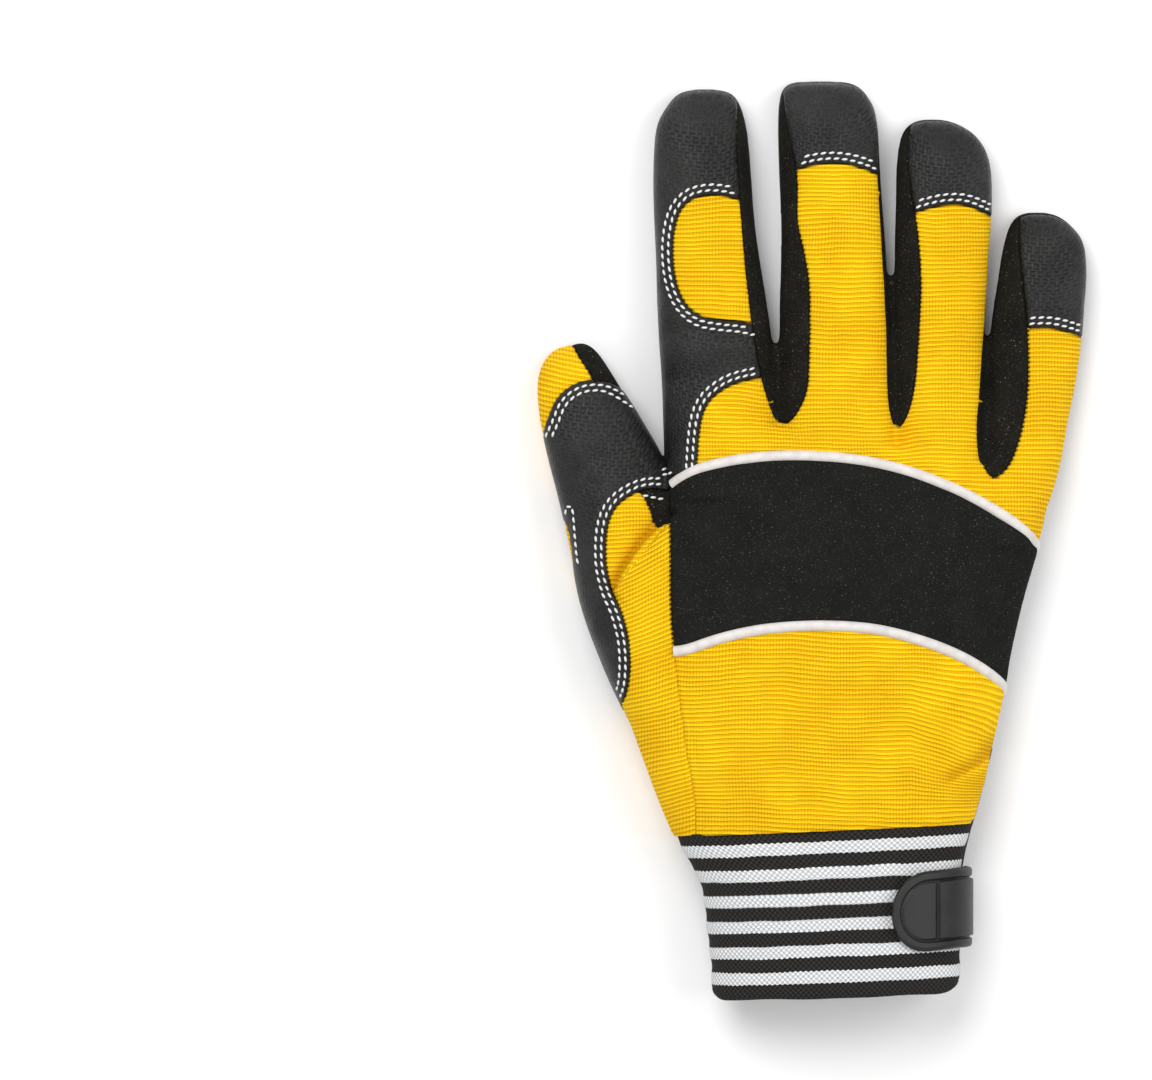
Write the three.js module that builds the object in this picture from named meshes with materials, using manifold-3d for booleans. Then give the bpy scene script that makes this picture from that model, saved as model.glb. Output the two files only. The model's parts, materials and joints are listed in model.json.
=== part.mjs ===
// Work glove for the right hand, laid palm down, as separate sewn pieces.
// Millimetres. +Z is up through the back of the hand, +Y towards the fingertips, +X towards the little finger.
// The origin is the middle of the glove's outline, on the surface that the palm lies on.
import * as THREE from "three";
import { mergeVertices } from "three/addons/utils/BufferGeometryUtils.js";
import Module from "manifold-3d";

const wasm = await Module();
wasm.setup();

// Driving dimensions
const wall = 1.6;
const gap = 0.3;
const pressedFlat = 1.6;
const partingHeight = 6;
const heelHeight = 12;
const pipingWidth = 2.8;
const fingerSides = 12;
const palmSides = 24;
const roundness = 2.3;
const seamStep = 8;
const coarseness = 0.15;
const overshoot = 0.6;
const cuffTop = -84.4;
const cuffWall = 2;
const tabThickness = 2.6;
const strapThickness = 1.2;

// Sections of the fingers, from the tip to the root: place along and across the hand, width and thickness
const fingers = {
  index: [
    { y: 129.9, x: -31.2, width: 8, height: 7 },
    { y: 128.2, x: -31.4, width: 17, height: 11 },
    { y: 121.8, x: -32.5, width: 25.5, height: 16 },
    { y: 113, x: -32.5, width: 28.2, height: 18 },
    { y: 92.8, x: -31.6, width: 29.6, height: 19 },
    { y: 69.6, x: -29.3, width: 32.5, height: 20 },
    { y: 46.4, x: -27, width: 34.4, height: 22 },
    { y: 12, x: -25, width: 35, height: 27.4 },
  ],
  middle: [
    { y: 132.8, x: 1.5, width: 12, height: 7 },
    { y: 131, x: 2.6, width: 20, height: 11 },
    { y: 124, x: 4.3, width: 28, height: 16 },
    { y: 113, x: 4.7, width: 29.2, height: 18 },
    { y: 92.8, x: 5.8, width: 30.2, height: 19.5 },
    { y: 69.6, x: 6.4, width: 32.5, height: 20.5 },
    { y: 46.4, x: 6.7, width: 34.6, height: 22.5 },
    { y: 12, x: 7, width: 36, height: 27.8 },
  ],
  ring: [
    { y: 121.8, x: 35, width: 7, height: 7 },
    { y: 119.5, x: 35.7, width: 16, height: 11 },
    { y: 112, x: 37.5, width: 25.4, height: 16 },
    { y: 101, x: 37.8, width: 27.2, height: 18 },
    { y: 81.2, x: 37.3, width: 27.4, height: 19 },
    { y: 58, x: 36.6, width: 27.8, height: 20 },
    { y: 34.8, x: 36.7, width: 28, height: 22.5 },
    { y: 4, x: 37, width: 28, height: 27.6 },
  ],
  little: [
    { y: 94.8, x: 65.4, width: 7, height: 6 },
    { y: 92.5, x: 66.2, width: 15, height: 10 },
    { y: 86, x: 67.2, width: 22.5, height: 14.5 },
    { y: 76, x: 66.7, width: 25.4, height: 16.5 },
    { y: 58, x: 64.5, width: 27.2, height: 18 },
    { y: 34.8, x: 62.2, width: 26, height: 20 },
    { y: 18, x: 59.5, width: 24, height: 22 },
    { y: -2, x: 54, width: 22, height: 26 },
  ],
};

// Sections of the thumb, square to its own slanted length; turn is the slant in degrees
const thumb = [
  { y: 55.6, x: -70.2, width: 7, height: 6, turn: 14 },
  { y: 53.4, x: -70, width: 15, height: 10, turn: 14 },
  { y: 46, x: -68.2, width: 23.5, height: 15, turn: 16 },
  { y: 36, x: -65, width: 28.4, height: 19, turn: 18 },
  { y: 22, x: -60.3, width: 31.4, height: 22, turn: 18 },
  { y: 4, x: -54.4, width: 34, height: 23.5, turn: 17 },
  { y: -14, x: -50, width: 37, height: 25, turn: 16 },
  { y: -34, x: -41, width: 33, height: 27, turn: 14 },
];

// Sections of the hand and the wrist, from the knuckles to the cuff
const hand = [
  { y: 28.5, x: 14.2, width: 110, height: 24.6, turn: -10 },
  { y: 14, x: 13.4, width: 114, height: 27.5, turn: -8 },
  { y: 0, x: 8.8, width: 114, height: 29, turn: -4 },
  { y: -17.4, x: 1.4, width: 120.4, height: 30, turn: 0 },
  { y: -34.8, x: -1.8, width: 118.4, height: 31, turn: 0 },
  { y: -52.2, x: 0.5, width: 107.6, height: 32, turn: 0 },
  { y: -69.6, x: 1.4, width: 97.5, height: 33, turn: 0 },
  { y: cuffTop + gap, x: 2.3, width: 87.5, height: 33, turn: 0 },
];

const cuffSections = [
  { y: cuffTop, x: 2.9, width: 85.5, height: 32.5, turn: 0 },
  { y: -91, x: 3.6, width: 80.5, height: 33, turn: 0 },
  { y: -99, x: 4.9, width: 75.4, height: 34, turn: 0 },
  { y: -110, x: 5.8, width: 73.2, height: 35, turn: 0 },
  { y: -131, x: 6.2, width: 71.4, height: 36, turn: 0 },
  { y: -132.8, x: 6.2, width: 70.4, height: 35.4, turn: 0 },
];

// Seams that show on the back of the hand, as the points [x, y] of a smooth line
const backSeams = {
  indexMiddle: [[-20.4, 134], [-22, 118], [-20.4, 92], [-17.6, 64.4], [-14, 44.1], [-11, 36], [-8.1, 34.2],
    [-4.6, 37], [-1.4, 47], [-1.4, 72.5], [-4.9, 93], [-5.2, 108], [-8.4, 136]],
  middleRing: [[14.6, 136], [18.6, 119], [20.4, 80], [22, 40], [24.6, 33.1], [28.4, 40], [30.6, 62],
    [30.2, 85], [27.9, 110], [30.5, 126]],
  ringLittle: [[46.5, 120], [50.2, 103], [49.4, 62], [47.8, 34], [48.4, 24], [51.9, 18.3], [57.2, 23],
    [62, 42], [61.2, 70], [60, 88], [61.5, 99]],
  thumbHand: [[-43.6, 27], [-41.8, 16.8], [-41.5, -17], [-39.3, -43], [-34.6, -76], [-34.6, -88]],
  indexBridge: [[-13.4, 47.2], [-22.3, 45.5], [-29.3, 41.2], [-32.4, 33], [-33.8, 20]],
  indexWindow: [[-20.6, 98.3], [-29.3, 99.9], [-37.4, 97], [-40.6, 84], [-37.7, 69.3], [-30, 64.2], [-17, 62.4]],
  middleCap: [[-5.8, 107], [5.5, 109.3], [19.4, 105.4]],
  ringCap: [[28.8, 94.6], [40.6, 97.3], [50.6, 94.3]],
  littleCap: [[60.6, 61], [67.9, 61.6], [81.5, 57.8]],
  thumbTip: [[-68.4, 50.4], [-63.9, 46.1], [-62.4, 44.4]],
  saddleTop: [[-73.4, 30], [-73.2, 37], [-70.2, 43.2], [-63.9, 46.1], [-58.3, 45.4], [-49.5, 41]],
  saddleWindow: [[-41.4, 14.6], [-50.3, 14.1], [-58.3, 8.1], [-60, -6], [-55, -22.6], [-52.6, -38], [-49.6, -47.6]],
  thumbWeb: [[-50.6, 14.6], [-47.3, 9], [-45.4, 3.8], [-41, 5.6]],
};

// Middle lines of the two white pipings, across the back of the hand
const pipings = {
  upper: [[-44, 15.6], [-35.7, 20], [-19.7, 23.6], [0.6, 24.2], [19.4, 22], [36.8, 16.5], [52, 9], [68.5, -4.6]],
  lower: [[-42.5, -32.3], [-29.9, -29], [-3.8, -24.7], [20.9, -26.4], [40, -32.7], [61, -46.5]],
};

// Seams under the thumb and the heel of the hand, where the underside rises higher than the parting
const heelSeams = {
  thumbPalm: [[-68.4, 50.4], [-70.4, 44.6], [-67, 33.3], [-56.8, 10.1], [-48.5, -14.5], [-38.2, -38.3],
    [-22.2, -60.9], [-14.6, -78.9], [-13.6, -88]],
  thumbLobes: [[-73.4, 30], [-70.6, 14.4], [-65.4, 2], [-63.2, -7.2], [-64.8, -14], [-62.6, -22.9],
    [-56, -34.8], [-52, -43], [-49.6, -47.6]],
};

// Seams that show on the palm, seen through the back of the hand
const palmSeams = {
  palmLeft: [[-44.5, 27], [-41.4, 13.4], [-27.8, 10.7], [-8.9, 1.4], [-1.1, -18], [-1.7, -34.8], [-5.4, -56.8]],
  thenarTop: [[-53, -6.4], [-44.6, -4.6], [-30.6, -7.5], [-15.4, -12.5], [-1, -14.1]],
  thenarBottom: [[-5.4, -56.8], [-10, -63.9], [-18.6, -71]],
  wristEdge: [[-5.4, -56.8], [23.8, -59.2], [60, -62.4]],
  leatherSuede: [[22.6, 86], [23.2, 62], [23.3, 41], [22.4, 33], [25.5, 28.4], [39.4, 22.9], [74, 9]],
  indexBandTop: [[-50, 88.4], [-14, 88.4]],
  indexBandBottom: [[-50, 77.1], [-10, 77.1]],
  middleBandTop: [[-13, 95.4], [24, 95.4]],
  middleBandBottom: [[-13, 86.1], [24.4, 86.1]],
};

// Short cuts of full height through the thumb's side, where its leather ends, and through its tip
const thumbCuts = [
  [[-86, 29], [-72.8, 30]],
  [[-62, -52.5], [-49, -47.4]],
  [[-70.6, 60], [-68.2, 49.8]],
];

// The flat cut between the back and the palm: its free edge runs inside the thumb and leaves its outer side whole
const partingEdge = [[-49, 150], [-49, 46], [-52.5, 43.2], [-58.3, 46.2], [-63, 46.4], [-60, 24], [-55, 5],
  [-50, -18], [-42, -45], [-26, -82], [-26, -100], [100, -100], [100, 150]];

// One row for each sewn piece: its name, a place on it, the side that shows it, and its material
const sewnPieces = [
  { name: "back_finger_panel", x: 6, y: 60, side: "back", material: "knit" },
  { name: "index_back_insert", x: -30, y: 82, side: "back", material: "knit" },
  { name: "knuckle_panel", x: 8, y: 0, side: "back", material: "knuckle" },
  { name: "knuckle_piping_upper", x: 0.6, y: 24.2, side: "back", material: "piping" },
  { name: "knuckle_piping_lower", x: -3.8, y: -24.7, side: "back", material: "piping" },
  { name: "back_hand_panel", x: 5, y: -50, side: "back", material: "knit" },
  { name: "thumb_panel", x: -46, y: -50, side: "back", material: "knit" },
  { name: "index_leather", x: -32, y: 112, side: "back", material: "leather" },
  { name: "middle_cap", x: 6, y: 117, side: "back", material: "leather" },
  { name: "ring_cap", x: 40, y: 106, side: "back", material: "leather" },
  { name: "little_cap", x: 70, y: 74, side: "back", material: "leather" },
  { name: "thumb_leather", x: -65, y: 30, side: "back", material: "leather" },
  { name: "thumb_web", x: -44.2, y: 10, side: "back", material: "suede" },
  { name: "fourchette_index_middle", x: -10, y: 60, side: "back", material: "suede" },
  { name: "fourchette_middle_ring", x: 26, y: 60, side: "back", material: "suede" },
  { name: "fourchette_ring_little", x: 56, y: 40, side: "back", material: "suede" },
  { name: "thumb_suede", x: -62, y: 34, side: "palm", material: "suede" },
  { name: "palm_suede", x: 38, y: 60, side: "palm", material: "suede" },
  { name: "palm_leather", x: 20, y: -10, side: "palm", material: "leather" },
  { name: "index_tip_pad", x: -31, y: 105, side: "palm", material: "leather" },
  { name: "index_band", x: -30, y: 82.7, side: "palm", material: "suede" },
  { name: "middle_tip_pad", x: 6, y: 112, side: "palm", material: "leather" },
  { name: "middle_band", x: 6, y: 90.7, side: "palm", material: "suede" },
  { name: "thenar_patch", x: -25, y: -30, side: "palm", material: "leather" },
  { name: "wrist_suede", x: 20, y: -75, side: "palm", material: "suede" },
];

// Outline of the closure tab on the back, from the wrist edge round its rounded end
const tabRow = { middle: -110.3, halfLength: 12.6, endX: 23.2, straightX: 35, silhouetteX: 46.8, palmX: 41 };
// The narrow strap runs up the wrist's edge from the tab
const strapRow = { bottom: -97.2, top: -66, width: 4.5, overhang: 2.4 };

const materials = {
  knit: new THREE.MeshStandardMaterial({ color: "#f4c516", roughness: 0.85, metalness: 0 }),
  knuckle: new THREE.MeshStandardMaterial({ color: "#272725", roughness: 0.9, metalness: 0 }),
  piping: new THREE.MeshStandardMaterial({ color: "#ebe6e1", roughness: 0.6, metalness: 0 }),
  leather: new THREE.MeshStandardMaterial({ color: "#3c3c3a", roughness: 0.5, metalness: 0 }),
  suede: new THREE.MeshStandardMaterial({ color: "#33332f", roughness: 0.95, metalness: 0 }),
  elastic: new THREE.MeshStandardMaterial({ color: "#e1e3e3", roughness: 0.8, metalness: 0 }),
  rubber: new THREE.MeshStandardMaterial({ color: "#3b3a38", roughness: 0.45, metalness: 0 }),
};

// Closed meshes and solids
function toSolid(geometry) {
  geometry.deleteAttribute("normal");
  geometry.deleteAttribute("uv");
  const merged = mergeVertices(geometry, 1e-4);
  const vertProperties = new Float32Array(merged.attributes.position.array);
  const triVerts = new Uint32Array(merged.index.array);
  return new wasm.Manifold(new wasm.Mesh({ numProp: 3, vertProperties, triVerts }));
}

function toGeometry(solid) {
  const mesh = solid.simplify(coarseness).getMesh();
  const geometry = new THREE.BufferGeometry();
  geometry.setAttribute("position", new THREE.BufferAttribute(new Float32Array(mesh.vertProperties), 3));
  geometry.setIndex(new THREE.BufferAttribute(new Uint32Array(mesh.triVerts), 1));
  geometry.computeVertexNormals();
  return geometry;
}

function box(low, high) {
  const geometry = new THREE.BoxGeometry(high[0] - low[0], high[1] - low[1], high[2] - low[2]);
  geometry.translate((low[0] + high[0]) / 2, (low[1] + high[1]) / 2, (low[2] + high[2]) / 2);
  return toSolid(geometry);
}

function prism(outline, low, high) {
  const shape = new THREE.Shape(outline.map(([x, y]) => new THREE.Vector2(x, y)));
  const geometry = new THREE.ExtrudeGeometry(shape, { depth: high - low, bevelEnabled: false });
  geometry.translate(0, 0, low);
  return toSolid(geometry);
}

// One rounded section: points round a superellipse that is turned in plan
function sectionPoints(section, sides, inset) {
  const turn = THREE.MathUtils.degToRad(section.turn ?? 0);
  const halfWidth = section.width / 2 - inset;
  const halfHeight = section.height / 2 - inset;
  const middle = section.height / 2 - pressedFlat;
  const points = [];
  for (let side = 0; side < sides; side += 1) {
    const angle = (2 * Math.PI * (side + 0.5)) / sides;
    const across = halfWidth * Math.sign(Math.cos(angle)) * Math.abs(Math.cos(angle)) ** (2 / roundness);
    const up = halfHeight * Math.sign(Math.sin(angle)) * Math.abs(Math.sin(angle)) ** (2 / roundness);
    points.push([section.x + across * Math.cos(turn), section.y + across * Math.sin(turn), middle + up]);
  }
  return points;
}

// A closed skin through sections that run from the tip down the hand
function loft(sections, sides, inset = 0, startShift = 0, endShift = 0) {
  const last = sections.length - 1;
  const used = sections
    .map((section, row) => {
      const nearTip = Math.max(0, 1 - (sections[0].y - section.y) / 12);
      return { ...section, y: section.y - startShift * nearTip - (row === last ? endShift : 0) };
    })
    .filter((section) => Math.min(section.width, section.height) > 2 * inset + 2);
  const positions = used.flatMap((section) => sectionPoints(section, sides, inset)).flat();
  const index = [];
  for (let row = 0; row < used.length - 1; row += 1) {
    for (let side = 0; side < sides; side += 1) {
      const a = row * sides + side;
      const b = row * sides + ((side + 1) % sides);
      index.push(a, b, a + sides, b, b + sides, a + sides);
    }
  }
  const bottomRow = (used.length - 1) * sides;
  for (let side = 1; side < sides - 1; side += 1) {
    index.push(0, side + 1, side);
    index.push(bottomRow, bottomRow + side, bottomRow + side + 1);
  }
  const geometry = new THREE.BufferGeometry();
  geometry.setAttribute("position", new THREE.Float32BufferAttribute(positions, 3));
  geometry.setIndex(index);
  const solid = toSolid(geometry);
  if (solid.volume() < 0) {
    throw new Error("a loft is inside out");
  }
  return solid;
}

// Evenly spaced points along a smooth line, run on a little at both ends so that lines that meet also cross
function smoothLine(points) {
  const curve = new THREE.SplineCurve(points.map(([x, y]) => new THREE.Vector2(x, y)));
  const line = curve.getSpacedPoints(Math.max(2, Math.ceil(curve.getLength() / seamStep)));
  const start = line[0].clone().sub(line[1]).setLength(overshoot).add(line[0]);
  const end = line.at(-1).clone().sub(line.at(-2)).setLength(overshoot).add(line.at(-1));
  return [start, ...line, end];
}

// A line moved sideways by a distance
function offsetLine(line, distance) {
  return line.map((point, at) => {
    const before = line[Math.max(0, at - 1)];
    const after = line[Math.min(line.length - 1, at + 1)];
    const along = after.clone().sub(before).normalize();
    return new THREE.Vector2(point.x - along.y * distance, point.y + along.x * distance);
  });
}

// An upright blade along a line, one gap thick, which cuts two pieces apart
function blade(line, low, high) {
  const left = offsetLine(line, gap / 2);
  const right = offsetLine(line, -gap / 2).reverse();
  return prism([...left, ...right].map((point) => [point.x, point.y]), low, high);
}

const everywhere = 400;
const aboveFloor = box([-everywhere, -everywhere, 0], [everywhere, everywhere, everywhere]);
const aboveWall = box([-everywhere, -everywhere, wall], [everywhere, everywhere, everywhere]);

// The whole sewn skin: everything outside minus everything inside
function skin() {
  let outer = loft(hand, palmSides).add(loft(thumb, fingerSides));
  let inner = loft(hand, palmSides, wall, wall, 10).add(loft(thumb, fingerSides, wall, wall));
  for (const sections of Object.values(fingers)) {
    outer = outer.add(loft(sections, fingerSides));
    inner = inner.add(loft(sections, fingerSides, wall, wall));
  }
  return outer.intersect(aboveFloor).subtract(inner.intersect(aboveWall));
}

function cutApart(solid) {
  const top = 60;
  const sheetLow = partingHeight - gap / 2;
  const sheetHigh = partingHeight + gap / 2;
  const cuts = [prism(partingEdge, sheetLow, sheetHigh)];
  for (const points of Object.values(backSeams)) {
    cuts.push(blade(smoothLine(points), sheetLow, top));
  }
  for (const points of Object.values(heelSeams)) {
    cuts.push(blade(smoothLine(points), -1, heelHeight));
  }
  for (const points of Object.values(palmSeams)) {
    cuts.push(blade(smoothLine(points), -1, sheetHigh));
  }
  for (const points of thumbCuts) {
    cuts.push(blade(smoothLine(points), -1, top));
  }
  for (const points of Object.values(pipings)) {
    const middle = smoothLine(points);
    cuts.push(blade(offsetLine(middle, pipingWidth / 2), sheetLow, top));
    cuts.push(blade(offsetLine(middle, -pipingWidth / 2), sheetLow, top));
  }
  return solid.subtract(wasm.Manifold.union(cuts)).decompose();
}

// The piece that holds most of a small upright probe at a named place
function pieceAt(pieces, { name, x, y, side }) {
  const low = side === "back" ? partingHeight + 2 : -1;
  const high = side === "back" ? 60 : partingHeight - 2;
  const probe = box([x - 1, y - 1, low], [x + 1, y + 1, high]);
  const shares = pieces.map((piece) => piece.intersect(probe).volume());
  const best = Math.max(...shares);
  if (best < 0.2) {
    throw new Error(`no piece of the skin lies at the place of ${name}`);
  }
  return shares.indexOf(best);
}

// Elastic cuff: an open striped tube
function cuffSolid() {
  const outer = loft(cuffSections, palmSides).intersect(aboveFloor);
  const floor = box([-everywhere, -everywhere, cuffWall], [everywhere, everywhere, everywhere]);
  const open = cuffSections.map((section) => ({ ...section }));
  open[0].y += 5;
  open[open.length - 1].y -= 5;
  return outer.subtract(loft(open, palmSides, cuffWall).intersect(floor));
}

// A shell that lies round the cuff and the wrist, from one distance to another
function wrap(near, far) {
  const sections = [...hand.slice(-3, -1), ...cuffSections.slice(0, -1)];
  const grow = (extra) => loft(sections.map((section) => ({ ...section })), palmSides, -extra).intersect(aboveFloor);
  return grow(far).subtract(grow(near));
}

// Rubber closure tab: it wraps the little-finger edge of the cuff
function tabSolid() {
  const { middle, halfLength, endX, straightX, silhouetteX, palmX } = tabRow;
  const outline = [];
  const steps = 10;
  for (let step = 0; step <= steps; step += 1) {
    const angle = Math.PI / 2 + (Math.PI * step) / steps;
    outline.push([straightX + (straightX - endX) * Math.cos(angle), middle + halfLength * Math.sin(angle)]);
  }
  outline.push([silhouetteX + 2, middle - halfLength], [silhouetteX + 2, middle + halfLength]);
  const reach = box([palmX, -200, -1], [200, 0, 12]).add(box([endX - 5, -200, 12], [200, 0, 60]));
  const near = gap + strapThickness + 0.8;
  return wrap(near, near + tabThickness).intersect(prism(outline, -1, 60)).intersect(reach);
}

// Narrow closure strap along the wrist's little-finger edge, under the tab
function strapSolid() {
  const { bottom, top, width, overhang } = strapRow;
  const shell = wrap(gap, gap + strapThickness);
  const zone = [[38, bottom], [60, bottom], [60, top], [38, top]];
  const band = prism(zone, 4, 4 + width * overhang);
  return shell.intersect(band);
}

const glove = new THREE.Group();

function addPiece(name, solid, material) {
  const mesh = new THREE.Mesh(toGeometry(solid), materials[material].clone());
  mesh.name = name;
  glove.add(mesh);
}

const cutPieces = cutApart(skin());
const taken = new Map();
for (const row of sewnPieces) {
  const found = pieceAt(cutPieces, row);
  if (taken.has(found)) {
    throw new Error(`${row.name} and ${taken.get(found)} are one piece`);
  }
  taken.set(found, row.name);
  addPiece(row.name, cutPieces[found], row.material);
}
addPiece("cuff", cuffSolid(), "elastic");
addPiece("closure_tab", tabSolid(), "rubber");
addPiece("closure_strap", strapSolid(), "suede");

export default glove;
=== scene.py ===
"""Right-hand work glove, palm down: knit back, synthetic leather, suede, striped cuff and rubber tab."""

import json
import math
from contextlib import contextmanager

import bmesh
import bpy
import numpy as np
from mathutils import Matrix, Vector
from mathutils.bvhtree import BVHTree
from mathutils.kdtree import KDTree

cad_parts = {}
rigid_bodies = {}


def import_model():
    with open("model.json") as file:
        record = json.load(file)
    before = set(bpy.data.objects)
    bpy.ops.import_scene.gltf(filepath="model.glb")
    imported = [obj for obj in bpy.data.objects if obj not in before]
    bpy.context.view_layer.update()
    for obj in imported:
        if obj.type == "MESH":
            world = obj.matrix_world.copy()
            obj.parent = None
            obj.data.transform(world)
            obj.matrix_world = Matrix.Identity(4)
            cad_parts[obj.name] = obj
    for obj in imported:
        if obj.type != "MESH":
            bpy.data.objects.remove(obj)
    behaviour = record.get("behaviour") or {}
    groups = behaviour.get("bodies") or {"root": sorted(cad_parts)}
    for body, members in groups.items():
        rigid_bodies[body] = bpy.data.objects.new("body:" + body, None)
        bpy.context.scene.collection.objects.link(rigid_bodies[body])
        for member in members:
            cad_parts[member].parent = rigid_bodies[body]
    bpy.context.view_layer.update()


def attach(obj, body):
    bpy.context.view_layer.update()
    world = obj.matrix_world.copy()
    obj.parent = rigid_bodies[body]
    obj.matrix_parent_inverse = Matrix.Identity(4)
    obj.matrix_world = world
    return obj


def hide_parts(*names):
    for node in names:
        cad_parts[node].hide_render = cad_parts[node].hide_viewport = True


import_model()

bl_info = {
    "name": "Work Glove",
    "version": (1, 0, 0),
    "blender": (4, 5, 0),
    "location": "View3D > Sidebar > Glove",
    "description": "Models a sewn work glove in its separate pieces",
    "category": "Object",
}

# All sizes below are in millimetres, apart from the heights of the camera and the lights
MM = 0.001

# A place far outside the glove
FAR = 200.0

# Corners of a section, and the power that rounds it: 2 is an ellipse, more is squarer
RING_SIDES = 48
ROUNDNESS = 2.3

# How deep the sections lie before they are pressed flat, and the levels that form and cuff then rest at
PRESSED = 1.6
REST = 1.1
CUFF_REST = 0.5

# Lowest level of the sewn pieces' outer faces, and of the cuff's
LOWEST = 0.52
CUFF_LOWEST = 0.1

# Height of the seam between back and palm, and how it rises along y beside the palm's outer edge
PARTING = 6.0
PARTING_RISE = (-90, -50, 6, 30), (11.5, 11.5, 9.8, PARTING)

# Where the hand ends at the cuff, the slope of that line, and the middles of the wrist and the cuff
WRIST = -83.9
WRIST_SLOPE = 0.043
WRIST_MIDDLE = 3.0
CUFF_MIDDLE = 6.0

# Sewn edges: how far they are felt, the depth and width of the dip into the seam, and the width of the puff
REACH = 6.0
SEAM_DEPTH = 0.75
SEAM_WIDTH = 1.3
PUFF_WIDTH = 2.2

# Radius of the rolled edge of leather that lies over its neighbour, and of the rim at the wrist, and how much
# of that roll is given to the piece
EDGE_RADIUS = 0.35
EDGE_SHARE = 0.6
RIM_RADIUS = 0.8
RIM_SHARE = 0.5

# How fast relief comes in as the cloth turns from the side to the back or the palm
FADING = 1.6

# Rounds in which the stepped borders are smoothed, and how often they are moved on to their seam lines
RELAX_ROUNDS = 31
SNAP_EVERY = 6

# How near a border has to be to move on to its seam line, and below which slope a face counts as upright
SNAP = 1.2
STEEP = 0.3

# Walls, piping and thread
CUFF_WALL = 1.6
TAB_WALL = 2.4
STRAP_WALL = 1.2
PIPING_RADIUS = 1.6
THREAD_LENGTH = 2.0
THREAD_RADIUS = 0.39

# Distance of the first stitch row from its edge, and of the second row from the first
FIRST_ROW = 1.25
ROW_GAP = 1.65

# The photo: its width and the glove's middle in pixels, and the size of a pixel
PHOTO_WIDTH = 1152
GLOVE_MIDDLE = 813
PIXEL = 0.29

# Heights in metres of the camera, and of the level that is shown at that scale
CAMERA_HEIGHT = 2.6
SHARP_HEIGHT = 0.014

# Lights: name, place and diameter in metres, power in watts
LIGHTS = [
    ("key", (-0.5, 0.8, 1.35), 1.2, 18.0),
    ("fill", (1.1, 0.2, 1.2), 1.3, 11.0),
    ("front", (-0.1, -1.2, 1.2), 1.4, 6.5),
]

# Sections from the tip to the root: y, x, width, height, turn in degrees
INDEX = [
    (130.9, -31, 7, 6, 0), (130, -31.1, 14.6, 10, 0), (127.2, -31.4, 20, 13, 0),
    (121.8, -32.1, 25.2, 16, 0), (116, -32.1, 27.2, 17.4, 0), (104.4, -31.8, 28.6, 18.6, 0),
    (92.8, -31.2, 29.2, 19, 0), (81.2, -30.1, 30.3, 19.6, 0), (69.6, -29, 31.9, 20.2, 0),
    (58, -27.9, 33, 21, 0), (46.4, -27, 33.2, 22, 0), (34.8, -26.2, 34, 23.8, 0), (12, -25, 35, 27.4, 0),
]
MIDDLE = [
    (133.2, 2.4, 15, 6, 0), (132.3, 2.6, 20, 10, 0), (130, 3.2, 24.4, 13, 0), (124, 4.3, 28.4, 16, 0),
    (116, 4.7, 29.4, 17.6, 0), (104.4, 5.2, 29.8, 19, 0), (92.8, 5.8, 30.4, 19.6, 0),
    (81.2, 6.2, 31.2, 20, 0), (69.6, 6.2, 32, 20.6, 0), (58, 6.5, 32.9, 21.4, 0),
    (46.4, 6.6, 33.4, 22.5, 0), (34.8, 6.8, 35.2, 24, 0), (12, 7, 36, 27.8, 0),
]
RING = [
    (122.3, 35, 6, 6, 0), (121.2, 35.4, 13, 10, 0), (118.6, 36.4, 20, 13, 0), (114, 37.5, 25, 15.6, 0),
    (108, 38, 27.4, 17, 0), (98, 38, 28, 18.2, 0), (87, 37.6, 27.8, 18.8, 0), (69.6, 37.05, 27, 19.8, 0),
    (52, 36.6, 26.5, 20.6, 0), (34.8, 36.7, 27.2, 22.5, 0), (4, 37, 28, 27.6, 0),
]
LITTLE = [
    (95.2, 65.4, 6, 5, 0), (94.2, 65.7, 12, 9, 0), (91.6, 66.4, 17.6, 11.6, 0), (87, 67.3, 22.6, 14.4, 0),
    (81.2, 67.1, 24.8, 15.8, 0), (75.4, 66.7, 25.7, 16.6, 0), (69.6, 65.9, 26.2, 17.2, 0),
    (58, 64.7, 26.8, 18, 0), (46.4, 63.5, 25.9, 19, 0), (34.8, 61.8, 24.6, 20, 0), (18, 59, 23.6, 22, 0),
    (-2, 53.2, 21, 26, 0),
]
THUMB = [
    (56.6, -70.6, 6, 5, 14), (55.8, -70.7, 10.4, 8, 14), (53.4, -70.7, 15.4, 11, 14),
    (49.5, -70.2, 19.6, 14, 15), (43, -68.4, 23.4, 16.8, 17), (36, -65.7, 26.8, 19, 18),
    (28, -62.5, 29.6, 20.8, 18), (18, -58.5, 32.3, 22.2, 18), (4, -54.4, 34, 23.5, 17),
    (-14, -49.6, 36.6, 25, 16), (-34, -43.6, 34, 27, 15), (-48, -37.5, 33, 28, 15),
]
HAND = [
    (28.5, 13.6, 109, 24.6, -10), (21, 12.8, 110.6, 26, -9), (14, 12, 111.6, 27.5, -8),
    (0, 7.9, 113.3, 29, -4), (-17.4, 0.7, 119.5, 30, 0), (-34.8, -1.5, 116, 31, 0),
    (-43.5, -0.1, 111, 31.5, 0), (-52.2, 0.2, 106.8, 32, 0), (-69.6, 1.3, 96.4, 33, 0),
    (-79, 1.9, 90.4, 33.4, 0), (-84, 2.2, 86.6, 33.2, 0), (-90, 2.3, 83.4, 33, 0),
]
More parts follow.
